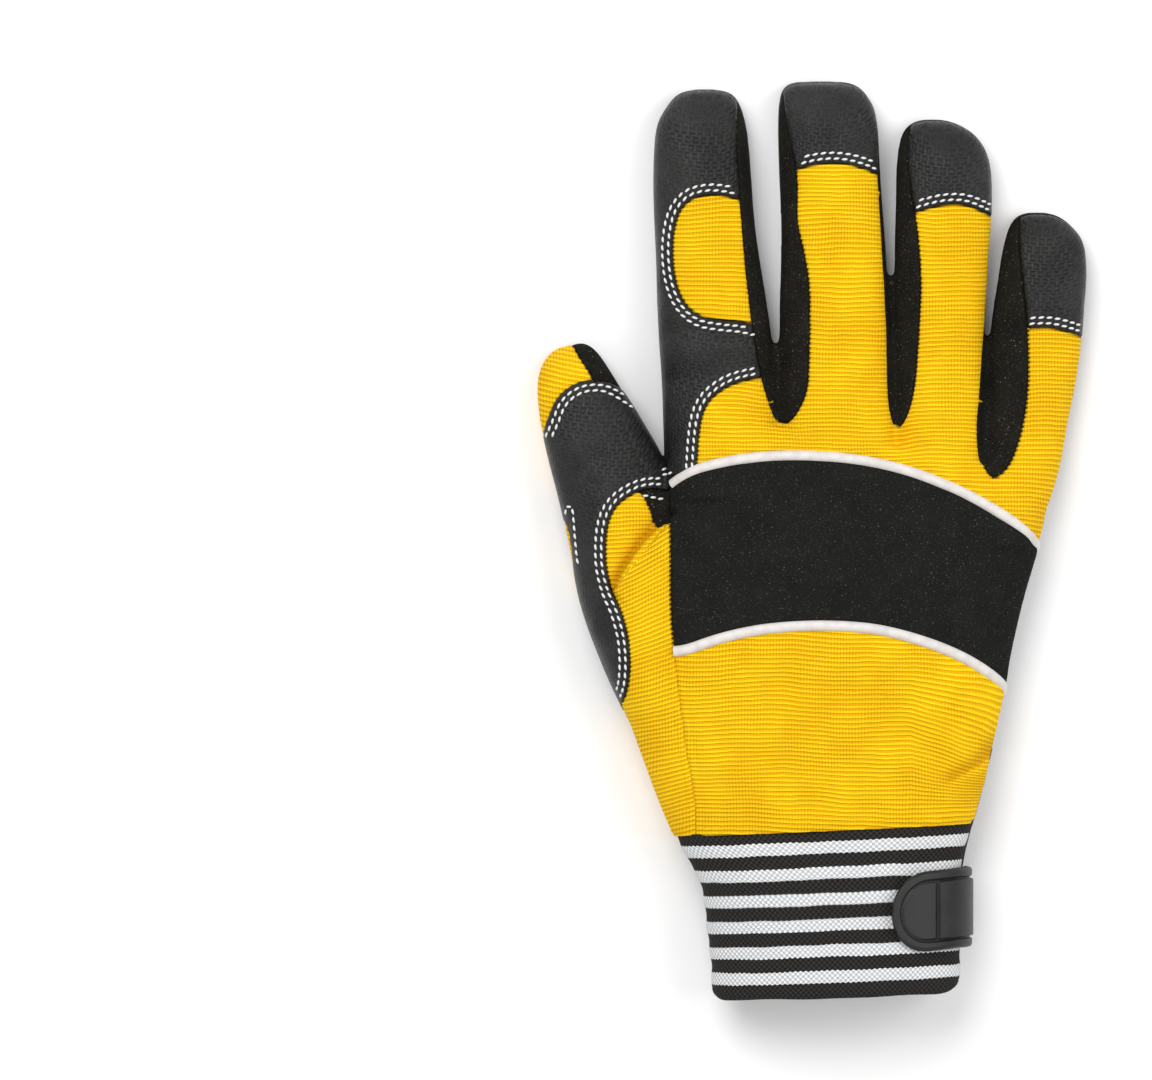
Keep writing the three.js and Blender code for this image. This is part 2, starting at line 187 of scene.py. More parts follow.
CUFF = [
    (-83.2, 3.0, 86.5, 32.4, 0), (-86.5, 3.2, 83.8, 32.6, 0), (-91, 3.8, 80, 33, 0),
    (-97.4, 4.6, 76, 33.8, 0), (-104, 5.2, 74, 34.6, 0), (-112, 5.8, 72.8, 35, 0),
    (-121, 6.2, 71.8, 35.6, 0), (-129.6, 6.2, 71.2, 36, 0), (-132.2, 6.2, 70.4, 35.4, 0),
]

# Seams on the back, as points (x, y) of smooth lines
BACK = {
    "index_middle": [
        (-20.4, 134), (-21.8, 127), (-22.1, 118), (-21.8, 108.7), (-20.3, 91.3), (-19.2, 78), (-17.7, 64.4),
        (-16.2, 54), (-13.9, 44.1), (-11, 36), (-8.1, 34), (-5.2, 36.6), (-2.6, 42), (-1.5, 50),
        (-1.3, 72.5), (-2.9, 83.5), (-4.9, 93), (-4.8, 103), (-5.5, 110.2), (-7.2, 119), (-8.3, 128),
        (-8.4, 137),
    ],
    "middle_ring": [
        (14.6, 136), (17.4, 127.6), (18.6, 119), (18.9, 108), (20.1, 88), (21.5, 63.8), (21.9, 44),
        (22.6, 37), (24.6, 33), (27.2, 37), (29.3, 46.4), (30.6, 64), (31, 75.4), (30.2, 88), (28.2, 103),
        (27.5, 110.2), (28.4, 119), (30.5, 127),
    ],
    "ring_little": [
        (50.5, 122), (52.3, 111), (52.3, 103), (51.8, 92.5), (51.2, 84), (50.4, 70), (49.6, 58), (48.4, 41),
        (47.7, 33), (48.3, 24.5), (51.9, 18.2), (56.6, 22), (60.3, 31.9), (62.1, 44), (62.1, 60),
        (60.6, 77), (60, 88), (61.5, 100),
    ],
    "thumb_hand": [
        (-43.6, 27), (-42, 17), (-41.5, 4), (-41.4, -17.4), (-40.6, -31), (-39.3, -43), (-37.4, -58),
        (-35.1, -72.5), (-34.4, -80), (-34.8, -92),
    ],
    "index_bridge": [
        (-12.6, 47.3), (-18.3, 46.5), (-24, 44.8), (-28.6, 41.8), (-31.2, 38.6), (-32.6, 34.6), (-33.4, 29),
        (-34, 20),
    ],
    "index_window": [
        (-19.4, 98), (-25.2, 99.6), (-31, 99.9), (-36, 98.2), (-39.3, 93.6), (-40.7, 85.3), (-40, 76),
        (-37.4, 69), (-33, 65), (-27, 63.7), (-21.2, 63.1), (-15.6, 62),
    ],
    "middle_cap": [(-8, 106), (-3, 107.9), (3, 109.1), (9, 109), (15, 107.5), (21, 104.9)],
    "ring_cap": [(27, 94), (33, 96), (39, 97.2), (44.5, 96.9), (51.5, 94.2)],
    "little_cap": [(59, 60.8), (65, 61.5), (71, 61.1), (82, 57.9)],
    "thumb_tip": [(-70.6, 60), (-68.6, 55), (-66.6, 51.6), (-64.7, 48.7), (-63.4, 45.6)],
    "saddle_top": [
        (-86, 26), (-79, 29.6), (-76.6, 35), (-74.5, 40), (-71.2, 43.6), (-66.6, 45.8), (-61.2, 46.1),
        (-56.4, 44.4), (-49.5, 40),
    ],
    "saddle_window": [
        (-40.8, 14.5), (-47.3, 14.9), (-52.4, 13.3), (-57.2, 9.6), (-59.7, 3.6), (-60.1, -6),
        (-58.6, -13.6), (-55.6, -21), (-53.6, -29), (-53.2, -38), (-54.4, -45), (-58, -51.6),
    ],
    "thumb_web": [(-50.8, 14.5), (-48.6, 12), (-46.7, 7.6), (-45.2, 3.8), (-43.2, 4.9), (-40.6, 5.6)],
}

# Middle lines of the two pipings on the back
PIPING = {
    "upper": [
        (-40.7, 16.2), (-35.4, 19.8), (-28.4, 21.9), (-19.7, 23.5), (-9.6, 24.3), (0.6, 24.2), (10.7, 23.4),
        (19.4, 21.9), (28.1, 19.6), (36.8, 16.4), (44.1, 13.2), (49.9, 10), (55.7, 6.6), (60.6, 2.8),
        (64.6, -1), (69, -5.7),
    ],
    "lower": [
        (-40.4, -32.2), (-36.4, -31.6), (-29.9, -29.2), (-22.6, -27.2), (-13.9, -25.6), (-3.8, -24.8),
        (4.9, -24.7), (13.6, -25.2), (20.9, -26.3), (29.6, -28.6), (38.3, -31.7), (45.5, -35.2),
        (51.3, -39), (60, -46),
    ],
}

# Seams on the palm, seen through the back of the hand
PALM = {
    "thumb_palm": [
        (-70.6, 60), (-70.8, 54.6), (-71.8, 49), (-71, 43.6), (-67, 33.3), (-62.1, 23.2), (-56.8, 10.1),
        (-51.6, -2.9), (-48.5, -14.5), (-44.4, -27.5), (-38.2, -38.3), (-29.8, -49.9), (-22.2, -60.9),
        (-17.1, -71), (-14.6, -79), (-13.6, -92),
    ],
    "palm_left": [
        (-46, 27), (-42.6, 15), (-38.6, 12.6), (-32, 12), (-24, 9.9), (-14, 5.8), (-8.9, 1.4), (-5, -3.8),
        (-2.4, -11), (-1.1, -18), (-0.9, -26.1), (-1.7, -34.8), (-3.5, -46.4), (-5.4, -56.8),
    ],
    "thenar_top": [
        (-55, -7.4), (-50.3, -5.8), (-44.6, -4.6), (-37.4, -4.9), (-30.6, -7.5), (-23.8, -10.7),
        (-15.4, -12.5), (-6.8, -13.3), (-0.6, -13.9),
    ],
    "thenar_bottom": [(-5.4, -56.8), (-7.8, -61.5), (-12, -66.1), (-18.6, -71.6)],
    "wrist_edge": [(-5.4, -56.8), (3.8, -57.7), (23.8, -59.2), (38.2, -60.3), (60, -62.2)],
    "leather_suede": [
        (22.6, 140), (22.8, 84), (23.2, 62), (23, 46), (20.4, 40), (19.4, 34.2), (21.2, 30.4), (25.5, 28.2),
        (31.7, 26.1), (39.4, 22.9), (53, 17.1), (62.8, 13), (74, 9),
    ],
    "thumb_lobes": [
        (-86, 26), (-79, 28.6), (-76.6, 24), (-75, 18.4), (-71.6, 12.4), (-67.6, 7), (-64.8, 2.6),
        (-63.9, -1.2), (-64.6, -4.6), (-67.4, -6.4), (-73.4, -6), (-73.4, -9.4), (-69.4, -10.4),
        (-66.2, -14.4), (-62.4, -20), (-58, -26.5), (-53.8, -33), (-50.8, -39.4), (-50.4, -44.6),
        (-52.8, -48.6), (-60, -52.6),
    ],
    "index_band_top": [(-50, 87.8), (-31, 88.6), (-10, 88)],
    "index_band_bottom": [(-50, 76.4), (-31, 77.2), (-10, 76.6)],
    "middle_band_top": [(-14, 94.6), (5, 95.6), (24, 94.8)],
    "middle_band_bottom": [(-14, 85.4), (5, 86.2), (24, 85.6)],
}

# Single lines of quilting stitches on the palm leather
QUILTING = {
    "upper": [
        (-40.9, 40), (-26.4, 35.4), (-11.9, 30.2), (2, 25.2), (15.7, 20), (26.7, 15.7), (37.8, 12.8),
        (48.8, 9), (60.3, 4.3),
    ],
    "middle": [
        (-39.4, 29), (-27.3, 23.2), (-13.7, 17.1), (-0.1, 11.3), (13.5, 5.2), (26.9, -1.7), (40.4, -8.4),
        (48.2, -13.9), (54.5, -20.3), (60.1, -27.3),
    ],
    "lower": [(-4.3, -53.6), (10.8, -49.9), (26, -45.2), (41.2, -40.6), (57.6, -34.2)],
    "crotch": [
        (-46.8, 22.6), (-46.3, 18.6), (-44.7, 13.9), (-41.8, 9.9), (-38.6, 6.1), (-35.3, 3.2), (-32.6, 3.5),
        (-31, 6.4),
    ],
    "dart": [(-25.4, 7), (-25.6, 2.3), (-25, -1.7), (-23.2, 2.3), (-22.9, 6.4)],
}

# Short single rows on the back: round the sliver beside the thumb, on the web, and two beside the piping
TACKS = [
    [
        (-71.8, 6.8), (-71.5, 8.8), (-70.6, 9.7), (-69.7, 8.6), (-69.3, 5), (-68.9, 0), (-68.4, -5),
        (-67.7, -9),
    ],
    [(-50, 13), (-47.6, 12.6), (-45, 12), (-42.4, 11.8)],
    [(-44.4, 20.2), (-40.9, 21.1)],
    [(-44.3, 18.6), (-40.8, 19.5)],
]

# Soft folds: start x and y, end x and y, half width, and height, which is negative for a crease
FOLDS = {
    "back": [
        (-56, -16, -45, -6, 2.2, -0.5), (40, -50, 50, -61, 2.2, -0.9), (33, -52, 49, -70, 2.6, 1.1),
        (28, -57, 46, -75, 2.6, -0.8), (20, -62, 44, -77, 3.2, 0.7), (-10, -42, 16, -45, 3.8, -0.5),
        (-22, -62, 8, -67, 3.8, -0.5), (-33, -73, -14, -76, 2.8, 0.6), (-10, -74, 22, -79, 2.6, -0.5),
        (-38, 54, -22, 56, 3.2, 0.5), (-42, 60, -26, 61, 2.4, -0.6), (-43, 46, -34, 47, 2.6, -0.6),
        (-44, 76, -40, 88, 2.4, 0.4), (-70, 20, -62, 24, 2.8, -0.5), (-66, 6, -60, 14, 3.2, 0.5),
        (34, 22, 58, 8, 2.8, 0.7), (30, 28, 46, 20, 2.4, -0.6), (-6, 39, 14, 37, 3.2, 0.5),
        (-12, 31, 14, 31, 2.8, -0.5), (-66, -30, -60, -18, 3.0, 0.5), (-50, -62, -40, -54, 2.8, -0.8),
        (-48, -72, -38, -62, 2.6, 0.6), (-52, -36, -42, -30, 2.4, -0.5), (0, 56, 12, 57, 3.0, -0.35),
        (0, 78, 12, 79, 3.0, -0.35), (34, 52, 44, 53, 3.0, -0.35), (64, 34, 74, 32, 2.6, -0.4),
        (-40, -40, -6, -33, 4.0, 0.45), (12, -34, 40, -42, 4.0, 0.5),
    ],
    "palm": [
        (-38, 30, -18, 36, 3.0, 0.5), (-30, 60, -14, 64, 2.6, -0.6), (-6, 58, 18, 60, 2.8, -0.6),
        (-12, 22, 12, 14, 3.2, -0.4), (-60, 20, -50, 24, 3.0, -0.6), (-36, -2, -20, -2, 2.6, -0.8),
        (-48, -20, -20, -24, 4.0, -0.5), (20, -8, 46, -18, 4.0, -0.4), (10, -66, 40, -70, 3.4, -0.5),
    ],
}

# Overlapping folds on the back: the line of the lip, and how high and how wide the cloth on its right lies
LIPS = [
    ([(-40.6, 6.4), (-43.4, 4.8), (-46.6, 2.2), (-50.4, -2.2), (-54.8, -8.6), (-57.4, -13.6)], 2.0, 5.0),
    ([(54, -60), (48, -65), (41, -68.6)], 0.8, 3.0),
]

# Outline of the hand without the thumb's free part, which is parted by its normals instead of at one height
HAND_AREA = [
    (-49, 150), (-49, 46), (-52.5, 43.2), (-58.3, 46.2), (-63, 46.4), (-60, 24), (-55, 5), (-50, -18),
    (-42, -45), (-26, -82), (-26, -100), (100, -100), (100, 150),
]

# Sliver of knit that shows beside the thumb's outer leather
SLIVER_AREA = [(-78, 5.8), (-71.6, 5.8), (-70.4, 2.5), (-69.9, -1), (-69.6, -5), (-69.2, -8.6), (-78, -8.6)]

# Pieces on the back that one seam line bounds: piece, line, and the corners that close its outline
BACK_AREAS = [
    ("index_back_insert", "index_window", [(-8, 62), (-10, 98)]),
    ("index_leather", "index_bridge", [(-60, 18), (-60, 150), (-10, 150), (-10, 47)]),
    ("middle_cap", "middle_cap", [(24, 105), (24, 150), (-12, 150), (-12, 106)]),
    ("ring_cap", "ring_cap", [(54, 93), (54, 130), (25, 130), (25, 94)]),
    ("little_cap", "little_cap", [(90, 57), (90, 110), (56, 110), (56, 60.8)]),
]

# Double rows of stitches beside an edge: group, line, side, and 1 for the line's left or -1 for its right
DOUBLE_ROWS = [
    ("index", BACK["index_window"], "back", -1),
    ("index", BACK["index_bridge"], "back", -1),
    ("middle", BACK["middle_cap"], "back", 1),
    ("ring", BACK["ring_cap"], "back", 1),
    ("little", BACK["little_cap"], "back", 1),
    ("thumb", BACK["saddle_top"][1:], "back", -1),
    ("thumb", BACK["saddle_window"], "back", -1),
    ("thumb", PALM["thumb_lobes"][3:], "palm", -1),
    ("palm", PALM["leather_suede"][4:], "palm", -1),
    ("palm", PALM["palm_left"][1:], "palm", 1),
    ("palm", [(-49.2, -5.4), *PALM["thenar_top"][2:]], "palm", -1),
    ("palm", PALM["thenar_bottom"], "palm", -1),
    ("palm", [*PALM["wrist_edge"][:-1], (50, -61.2)], "palm", 1),
    ("palm", PALM["index_band_top"], "palm", 1),
    ("palm", PALM["index_band_bottom"], "palm", -1),
    ("palm", PALM["middle_band_top"], "palm", 1),
    ("palm", PALM["middle_band_bottom"], "palm", -1),
]

# Each sewn piece: finish, how far its outer face lies above the form, and its puff
KNIT, LEATHER, GRAIN, SUEDE, CLOTH = "knit", "leather_back", "leather_palm", "suede", "knuckle_cloth"
PIECES = {
    "back_finger_panel": (KNIT, 0.0, 0.25),
    "index_back_insert": (KNIT, 0.0, 0.2),
    "back_hand_panel": (KNIT, 0.0, 0.3),
    "thumb_panel": (KNIT, 0.0, 0.25),
    "knuckle_panel": (CLOTH, 0.4, 0.4),
    "index_leather": (LEATHER, 0.7, 0.1),
    "middle_cap": (LEATHER, 0.7, 0.1),
    "ring_cap": (LEATHER, 0.7, 0.1),
    "little_cap": (LEATHER, 0.7, 0.1),
    "thumb_leather": (LEATHER, 0.7, 0.1),
    "thumb_web": (SUEDE, -0.5, 0.0),
    "fourchette_index_middle": (SUEDE, 0.0, -0.5),
    "fourchette_middle_ring": (SUEDE, 0.0, -0.5),
    "fourchette_ring_little": (SUEDE, 0.0, -0.5),
    "thumb_suede": (SUEDE, 0.0, 0.2),
    "palm_suede": (SUEDE, 0.0, 0.2),
    "index_band": (SUEDE, 0.0, 0.1),
    "middle_band": (SUEDE, 0.0, 0.1),
    "wrist_suede": (SUEDE, 0.0, 0.2),
    "palm_leather": (GRAIN, 0.6, 0.1),
    "index_tip_pad": (GRAIN, 0.6, 0.1),
    "middle_tip_pad": (GRAIN, 0.6, 0.1),
    "thenar_patch": (GRAIN, 0.4, 0.2),
}
NAMES = list(PIECES)
FOURCHETTES = {name for name in NAMES if name.startswith("fourchette_")}
PALM_SIDE = set(NAMES[NAMES.index("thumb_suede"):])

# How much the knit's ribs climb for each millimetre along x, given as places along y and the slopes there
RIB_SLOPES = {
    "thumb_low": [(-84, -45, -10, 6), (-0.18, -0.34, -0.5, -0.55)],
    "thumb_high": [(-10, 20, 60), (-0.02, 0.08, 0.26)],
    "outer_fold": [(-77, -67, -56, -34), (0, 0.27, 0.3, 0)],
}

# How a piece can meet its neighbours
SEAM_KINDS = ("sewn", "over", "under", "piped", "joined")

# Dark and light tone of each material, as 0 to 255 screen values
TONES = {
    "knit": [(240, 186, 6), (247, 203, 14)],
    "leather": [(13, 13, 12), (31, 31, 30)],
    "palm": [(38, 40, 39), (52, 54, 53)],
    "suede": [(20, 19, 16), (34, 33, 28)],
    "knuckle": [(24, 24, 23), (32, 32, 30)],
    "piping": [(206, 201, 197), (219, 214, 210)],
    "thread": [(208, 210, 212), (252, 252, 250)],
    "rubber": [(21, 20, 20), (31, 30, 29)],
    "stripe_black": [(26, 25, 24), (55, 53, 51)],
    "stripe_white": [(178, 180, 183), (240, 241, 242)],
}

# What the operators hand on to each other
WORK = {}


def travelled(line):
    """Distance along a line from its start to each of its points."""
    return np.concatenate([[0], np.cumsum(np.linalg.norm(np.diff(line, axis=0), axis=1))])


def between(at, known, rows):
    """The rows of a table at given values of its known column."""
    return np.stack([np.interp(at, known, column) for column in rows.T], axis=-1)


def smooth(points, step=1.0):
    """Even points along a smooth line through the given ones."""
    pts = np.array(points, float)
    ends = np.vstack([2 * pts[0] - pts[1], pts, 2 * pts[-1] - pts[-2]])
    t = np.linspace(0, 1, 9)[:-1, None]
    spans = []
    for a, b, c, d in zip(ends[:-3], ends[1:-2], ends[2:-1], ends[3:]):
        square = 2 * a - 5 * b + 4 * c - d
        cube = 3 * b - a - 3 * c + d
        spans.append(0.5 * (2 * b + (c - a) * t + square * t**2 + cube * t**3))
    line = np.vstack(spans + [pts[-1:]])
    length = travelled(line)
    at = np.linspace(0, length[-1], max(2, int(round(length[-1] / step)) + 1))
    return between(at, length, line)


def shifted(line, distance):
    """The same line moved to its left by a distance."""
    along = np.gradient(line, axis=0)
    along /= np.linalg.norm(along, axis=1)[:, None]
    return line + distance * np.stack([-along[:, 1], along[:, 0]], axis=1)


def inside(polygon, x, y):
    """Which of the points lie inside a closed outline."""
    polygon = np.asarray(polygon, float)
    result = np.zeros(len(x), bool)
    for (xa, ya), (xb, yb) in zip(polygon, np.roll(polygon, -1, axis=0)):
        if ya == yb:
            continue
        crosses = (ya > y) != (yb > y)
        result ^= crosses & (x < (xb - xa) * (y - ya) / (yb - ya) + xa)
    return result


def outline(line, *corners):
    """A closed outline: a smooth seam line and then plain corners."""
    return np.vstack([smooth(line), np.array(corners, float)]) if corners else smooth(line)


def signed_power(value, power):
    """A power that keeps the value's sign."""
    return np.sign(value) * np.abs(value) ** power


def rolled(distance, radius):
    """Depth of a rolled edge: a quarter circle down into the seam."""
    t = np.clip(1 - distance / radius, 0, 1)
    return radius * (1 - np.sqrt(np.maximum(0, 1 - t * t)))


def parting(x, y):
    """Height in millimetres of the seam round the side of the glove: higher beside the palm's outer edge."""
    return np.where(x > 24, np.interp(y, PARTING_RISE[0], PARTING_RISE[1]), PARTING)


def label_faces(x, y, z, up):
    """The index in NAMES of the piece that each place on the form belongs to."""
    back = np.where(inside(HAND_AREA, x, y), z > parting(x, y), up > 0)
    label = np.full(len(x), -1)

    def within(line, *corners):
        return inside(outline(line, *corners), x, y)

    def give(name, mask):
        label[(label < 0) & mask] = NAMES.index(name)

    for name in sorted(FOURCHETTES):
        give(name, back & within(BACK[name.removeprefix("fourchette_")]))
    thumb = back & within(BACK["thumb_hand"], (-FAR, -92), (-FAR, 80), (-48, 80), (-48, 32))
    top, window = smooth(BACK["saddle_top"]), smooth(BACK["saddle_window"])
    saddle = np.vstack([top, [(-43.6, 30)], window, [(-90, -54)]])
    give("thumb_panel", (up > -0.5) & inside(SLIVER_AREA, x, y))
    give("thumb_web", thumb & within(BACK["thumb_web"], (-40.6, 15)))
    give("thumb_leather", thumb & inside(saddle, x, y))
    give("thumb_suede", thumb & within(BACK["thumb_tip"], (-61.2, 46.1), (-56.4, 44.4), (-45, 38), (-45, 60)))
    give("thumb_panel", thumb)
    upper, lower = smooth(PIPING["upper"]), smooth(PIPING["lower"])
    band = np.vstack([[(-60, 14)], upper, [(90, -20), (90, -70)], lower[::-1], [(-60, -34)]])
    give("knuckle_panel", back & inside(band, x, y))
    give("back_hand_panel", back & within(PIPING["lower"], (90, -70), (90, -120), (-60, -120), (-60, -33)))
    for name, line, corners in BACK_AREAS:
        give(name, back & within(BACK[line], *corners))
    give("back_finger_panel", back)
    give("palm_suede", within(PALM["leather_suede"], (120, 9), (120, 140)))
    fingers = [("index", (x < -10) & (y > 30), -50, -10), ("middle", (x > -13) & (x < 24), -14, 24)]
    for name, finger, left, right in fingers:
        give(name + "_tip_pad", finger & within(PALM[name + "_band_top"], (right, 150), (left, 150)))
        give(name + "_band", finger & within(PALM[name + "_band_bottom"], (right, 150), (left, 150)))
    outer = within(PALM["thumb_palm"], (-FAR, -92), (-FAR, 60))
    give("thumb_leather", outer & within(PALM["thumb_lobes"], (-90, -54)))
    give("thumb_panel", outer)
    thenar, wrist = smooth(PALM["thenar_bottom"]), smooth(PALM["wrist_edge"])
    heel = np.vstack([thenar[::-1], wrist, [(90, -62), (90, -120), (-14, -120)]])
    give("wrist_suede", inside(heel, x, y))
    left = within(PALM["palm_left"], (-30, -90), (-FAR, -90), (-FAR, 80), (-48, 80))
    give("thenar_patch", left & within(PALM["thenar_top"], (6, -13.9), (6, -90), (-80, -90), (-80, -8)))
    give("thumb_suede", left)
    give("palm_leather", True)
    return label


# Making and finishing meshes


def only(obj):
    """Makes one object the selected and active one."""
    bpy.ops.object.select_all(action="DESELECT")
    obj.select_set(True)
    bpy.context.view_layer.objects.active = obj


@contextmanager
def edit_mode(obj):
    """Edit mode on one object, with everything selected."""
    only(obj)
    bpy.ops.object.mode_set(mode="EDIT")
    bpy.ops.mesh.select_all(action="SELECT")
    yield
    bpy.ops.object.mode_set(mode="OBJECT")


def face_outwards(obj):
    """Turns all faces of a closed or open shell the same way, outwards."""
    with edit_mode(obj):
        bpy.ops.mesh.normals_make_consistent(inside=False)


def add_modifier(obj, kind, **settings):
    """Adds a modifier with its settings and applies it."""
    only(obj)
    modifier = obj.modifiers.new(kind.lower(), kind)
    for key, value in settings.items():
        setattr(modifier, key, value)
    bpy.ops.object.modifier_apply(modifier=modifier.name)


def fetch(items, key, width=1, kind=np.float32):
    """A row of values for each vertex, edge, corner or face of a mesh."""
    values = np.empty(len(items) * width, kind)
    items.foreach_get(key, values)
    return values.reshape(-1, width)


def coords(mesh):
    return fetch(mesh.vertices, "co", 3).astype(float)


def set_coords(mesh, values):
    mesh.vertices.foreach_set("co", values.astype(np.float32).ravel())
    mesh.update()


def normals(mesh):
    return fetch(mesh.vertex_normals, "vector", 3).astype(float)


def form_normals(mesh):
    """Normals that a piece had while it was still part of the form."""
    return fetch(mesh.attributes["form_normal"].data, "vector", 3).astype(float)


def edge_ends(mesh):
    return fetch(mesh.edges, "vertices", 2, np.int32)


def store(mesh, name, values):
    """Keeps a vector for each point as an attribute of the mesh."""
    layer = mesh.attributes.get(name) or mesh.attributes.new(name, "FLOAT_VECTOR", "POINT")
    layer.data.foreach_set("vector", values.astype(np.float32).ravel())


def tree_of(points):
    """A tree that finds the nearest of some points."""
    tree = KDTree(len(points))
    for at, point in enumerate(points):
        tree.insert(point, at)
    tree.balance()
    return tree


def sleeve(name, rows, step=4.0, sides=RING_SIDES):
    """A closed rounded tube: a disc extruded from section to section."""
    rows = smooth(rows, step)
    bpy.ops.object.select_all(action="DESELECT")
    turned = (math.pi / 2, 0, 0)
    bpy.ops.mesh.primitive_circle_add(vertices=sides, radius=1.0, fill_type="NGON", rotation=turned)
    obj = bpy.context.object
    obj.name = name
    bpy.ops.object.transform_apply(location=False, rotation=True, scale=False)
    ring = coords(obj.data)
    for axis in (0, 2):
        ring[:, axis] = signed_power(ring[:, axis], 2 / ROUNDNESS)
    set_coords(obj.data, ring)
    last_turn = 0.0
    with edit_mode(obj):
        for at, (y, x, width, height, turn) in enumerate(rows):
            place = Vector((x, y, height / 2 - PRESSED)) * MM
            if at == 0:
                half = (width / 2 * MM, 1, height / 2 * MM)
                bpy.ops.transform.resize(value=half, center_override=(0, 0, 0))
                bpy.ops.transform.translate(value=place)
            else:
                bpy.ops.mesh.extrude_region_move(TRANSFORM_OT_translate={"value": place - centre})
                wide = width / last_width
                bpy.ops.transform.resize(value=(wide, wide, height / last_height), center_override=place)
            turning = -math.radians(turn - last_turn)
            bpy.ops.transform.rotate(value=turning, orient_axis="Z", center_override=place)
            centre, last_width, last_height, last_turn = place, width, height, turn
    face_outwards(obj)
    return obj


def section(rows, y):
    """Middle, width and height of a sleeve at places along it, in millimetres."""
    table = np.array(rows)[::-1]
    return between(y, table[:, 0], table[:, 1:4]).T


def section_point(rows, y, angle, grow=0.0):
    """A place on a sleeve's outer face, in millimetres, at an angle round its section."""
    x, width, height = section(rows, y)
    px = x + (width / 2 + grow) * signed_power(math.cos(angle), 2 / ROUNDNESS)
    pz = height / 2 - PRESSED + (height / 2 + grow) * signed_power(math.sin(angle), 2 / ROUNDNESS)
    return px, y, pz


def press_flat(points, rest, softness=0.6):
    """Flattens whatever would reach below the level that the glove rests at."""
    z = points[:, 2] / MM - rest
    points[:, 2] = MM * (rest + 0.5 * (z + np.sqrt(z * z + softness)) - 0.1)
    return points


def grid(name, columns, rows):
    """A flat grid, and how far each point of it lies from -1 to 1 along and across."""
    bpy.ops.object.select_all(action="DESELECT")
    bpy.ops.mesh.primitive_grid_add(x_subdivisions=columns, y_subdivisions=rows, size=2.0)
    obj = bpy.context.object
    obj.name = name
    return obj, *coords(obj.data).T[:2]


# The form of the hand, and its seams


def beside(line, x, y):
    """Distance to a smooth line, and the same with a sign: positive on the line's left."""
    line = smooth(line, 0.4)
    along = np.gradient(line, axis=0)
    nearest = np.full(len(x), 1e9)
    signed = np.zeros(len(x))
    for (px, py), (ax, ay) in zip(line, along):
        dx, dy = x - px, y - py
        away = dx * dx + dy * dy
        better = away < nearest
        nearest[better] = away[better]
        signed[better] = ((ax * dy - ay * dx) / math.hypot(ax, ay))[better]
    return np.sqrt(nearest), signed


def lip_relief(x, y, up):
    """Height in millimetres of the cloth beside each overlapping fold."""
    step_width, low_width, end_width = 1.1, 2.6, 0.8
    height = np.zeros(len(x))
    for line, rise, width in LIPS:
        reach, signed = beside(line, x, y)
        right = np.clip(signed / step_width + 0.5, 0, 1)
        ends = np.clip(1.6 - np.abs(reach - np.abs(signed)) / end_width, 0, 1)
        height += rise * right * np.exp(-((reach / width) ** 2)) * ends
        height -= rise * (1 - right) * np.exp(-((reach / low_width) ** 2)) * ends
    return height * np.clip(up * FADING, 0, 1)


def fold_relief(points, up):
    """Height in millimetres of the soft folds at each place."""
    x, y = points[:, 0] / MM, points[:, 1] / MM
    height = np.zeros(len(x))
    for side, folds in FOLDS.items():
        facing = np.clip((up if side == "back" else -up) * FADING, 0, 1)
        for start_x, start_y, end_x, end_y, half_width, rise in folds:
            along = np.array([end_x - start_x, end_y - start_y], float)
            share = ((x - start_x) * along[0] + (y - start_y) * along[1]) / (along @ along)
            near = np.clip(share, 0, 1)
            away = np.hypot(x - start_x - near * along[0], y - start_y - near * along[1])
            height += rise * np.exp(-((away / half_width) ** 2)) * facing
    return height + lip_relief(x, y, up)


def make_form(voxel):
    """The whole hand of the glove as one smooth skin, open at the wrist."""
    form = sleeve("form", HAND)
    fingers = [sleeve("part", rows) for rows in (INDEX, MIDDLE, RING, LITTLE, THUMB)]
    only(form)
    for finger in fingers:
        finger.select_set(True)
    bpy.ops.object.join()
    add_modifier(form, "REMESH", mode="VOXEL", voxel_size=voxel * MM, adaptivity=0.0)
    add_modifier(form, "SMOOTH", factor=0.5, iterations=24)
    mesh = form.data
    points = press_flat(coords(mesh), REST)
    set_coords(mesh, points)
    up = normals(mesh)
    points += up * (fold_relief(points, up[:, 2]) * MM)[:, None]
    points[:, 2] = np.maximum(points[:, 2], REST * MM)
    set_coords(mesh, points)
    with edit_mode(form):
        place, normal = (WRIST_MIDDLE * MM, WRIST * MM, 0), (-WRIST_SLOPE, 1, 0)
        bpy.ops.mesh.bisect(plane_co=place, plane_no=normal, clear_inner=True)
    return form


def seam_edges(mesh, label):
    """Edges between pieces: their index, and the labels on both sides."""
    edge_of = fetch(mesh.loops, "edge_index", 1, np.int32).ravel()
    starts = fetch(mesh.polygons, "loop_start", 1, np.int32).ravel()
    face_of = np.repeat(np.arange(len(starts)), np.diff(np.append(starts, len(edge_of))))
    order = np.argsort(edge_of, kind="stable")
    sorted_edges, sorted_labels = edge_of[order], label[face_of[order]]
    pair = sorted_edges[:-1] == sorted_edges[1:]
    first, second = sorted_labels[:-1][pair], sorted_labels[1:][pair]
    differs = first != second
    return sorted_edges[:-1][pair][differs], first[differs], second[differs]


def seam_samples(lines):
    """A tree of close points along all seam lines of one side."""
    points = np.vstack([smooth(line, 0.15) for line in lines])
    return tree_of(np.pad(points, ((0, 0), (0, 1))))


def is_parting(here, there):
    """Whether a border runs round the side of the glove, between its back and its palm."""
    if here.startswith("thumb") or there.startswith("thumb"):
        return False
    return (here in PALM_SIDE) != (there in PALM_SIDE)


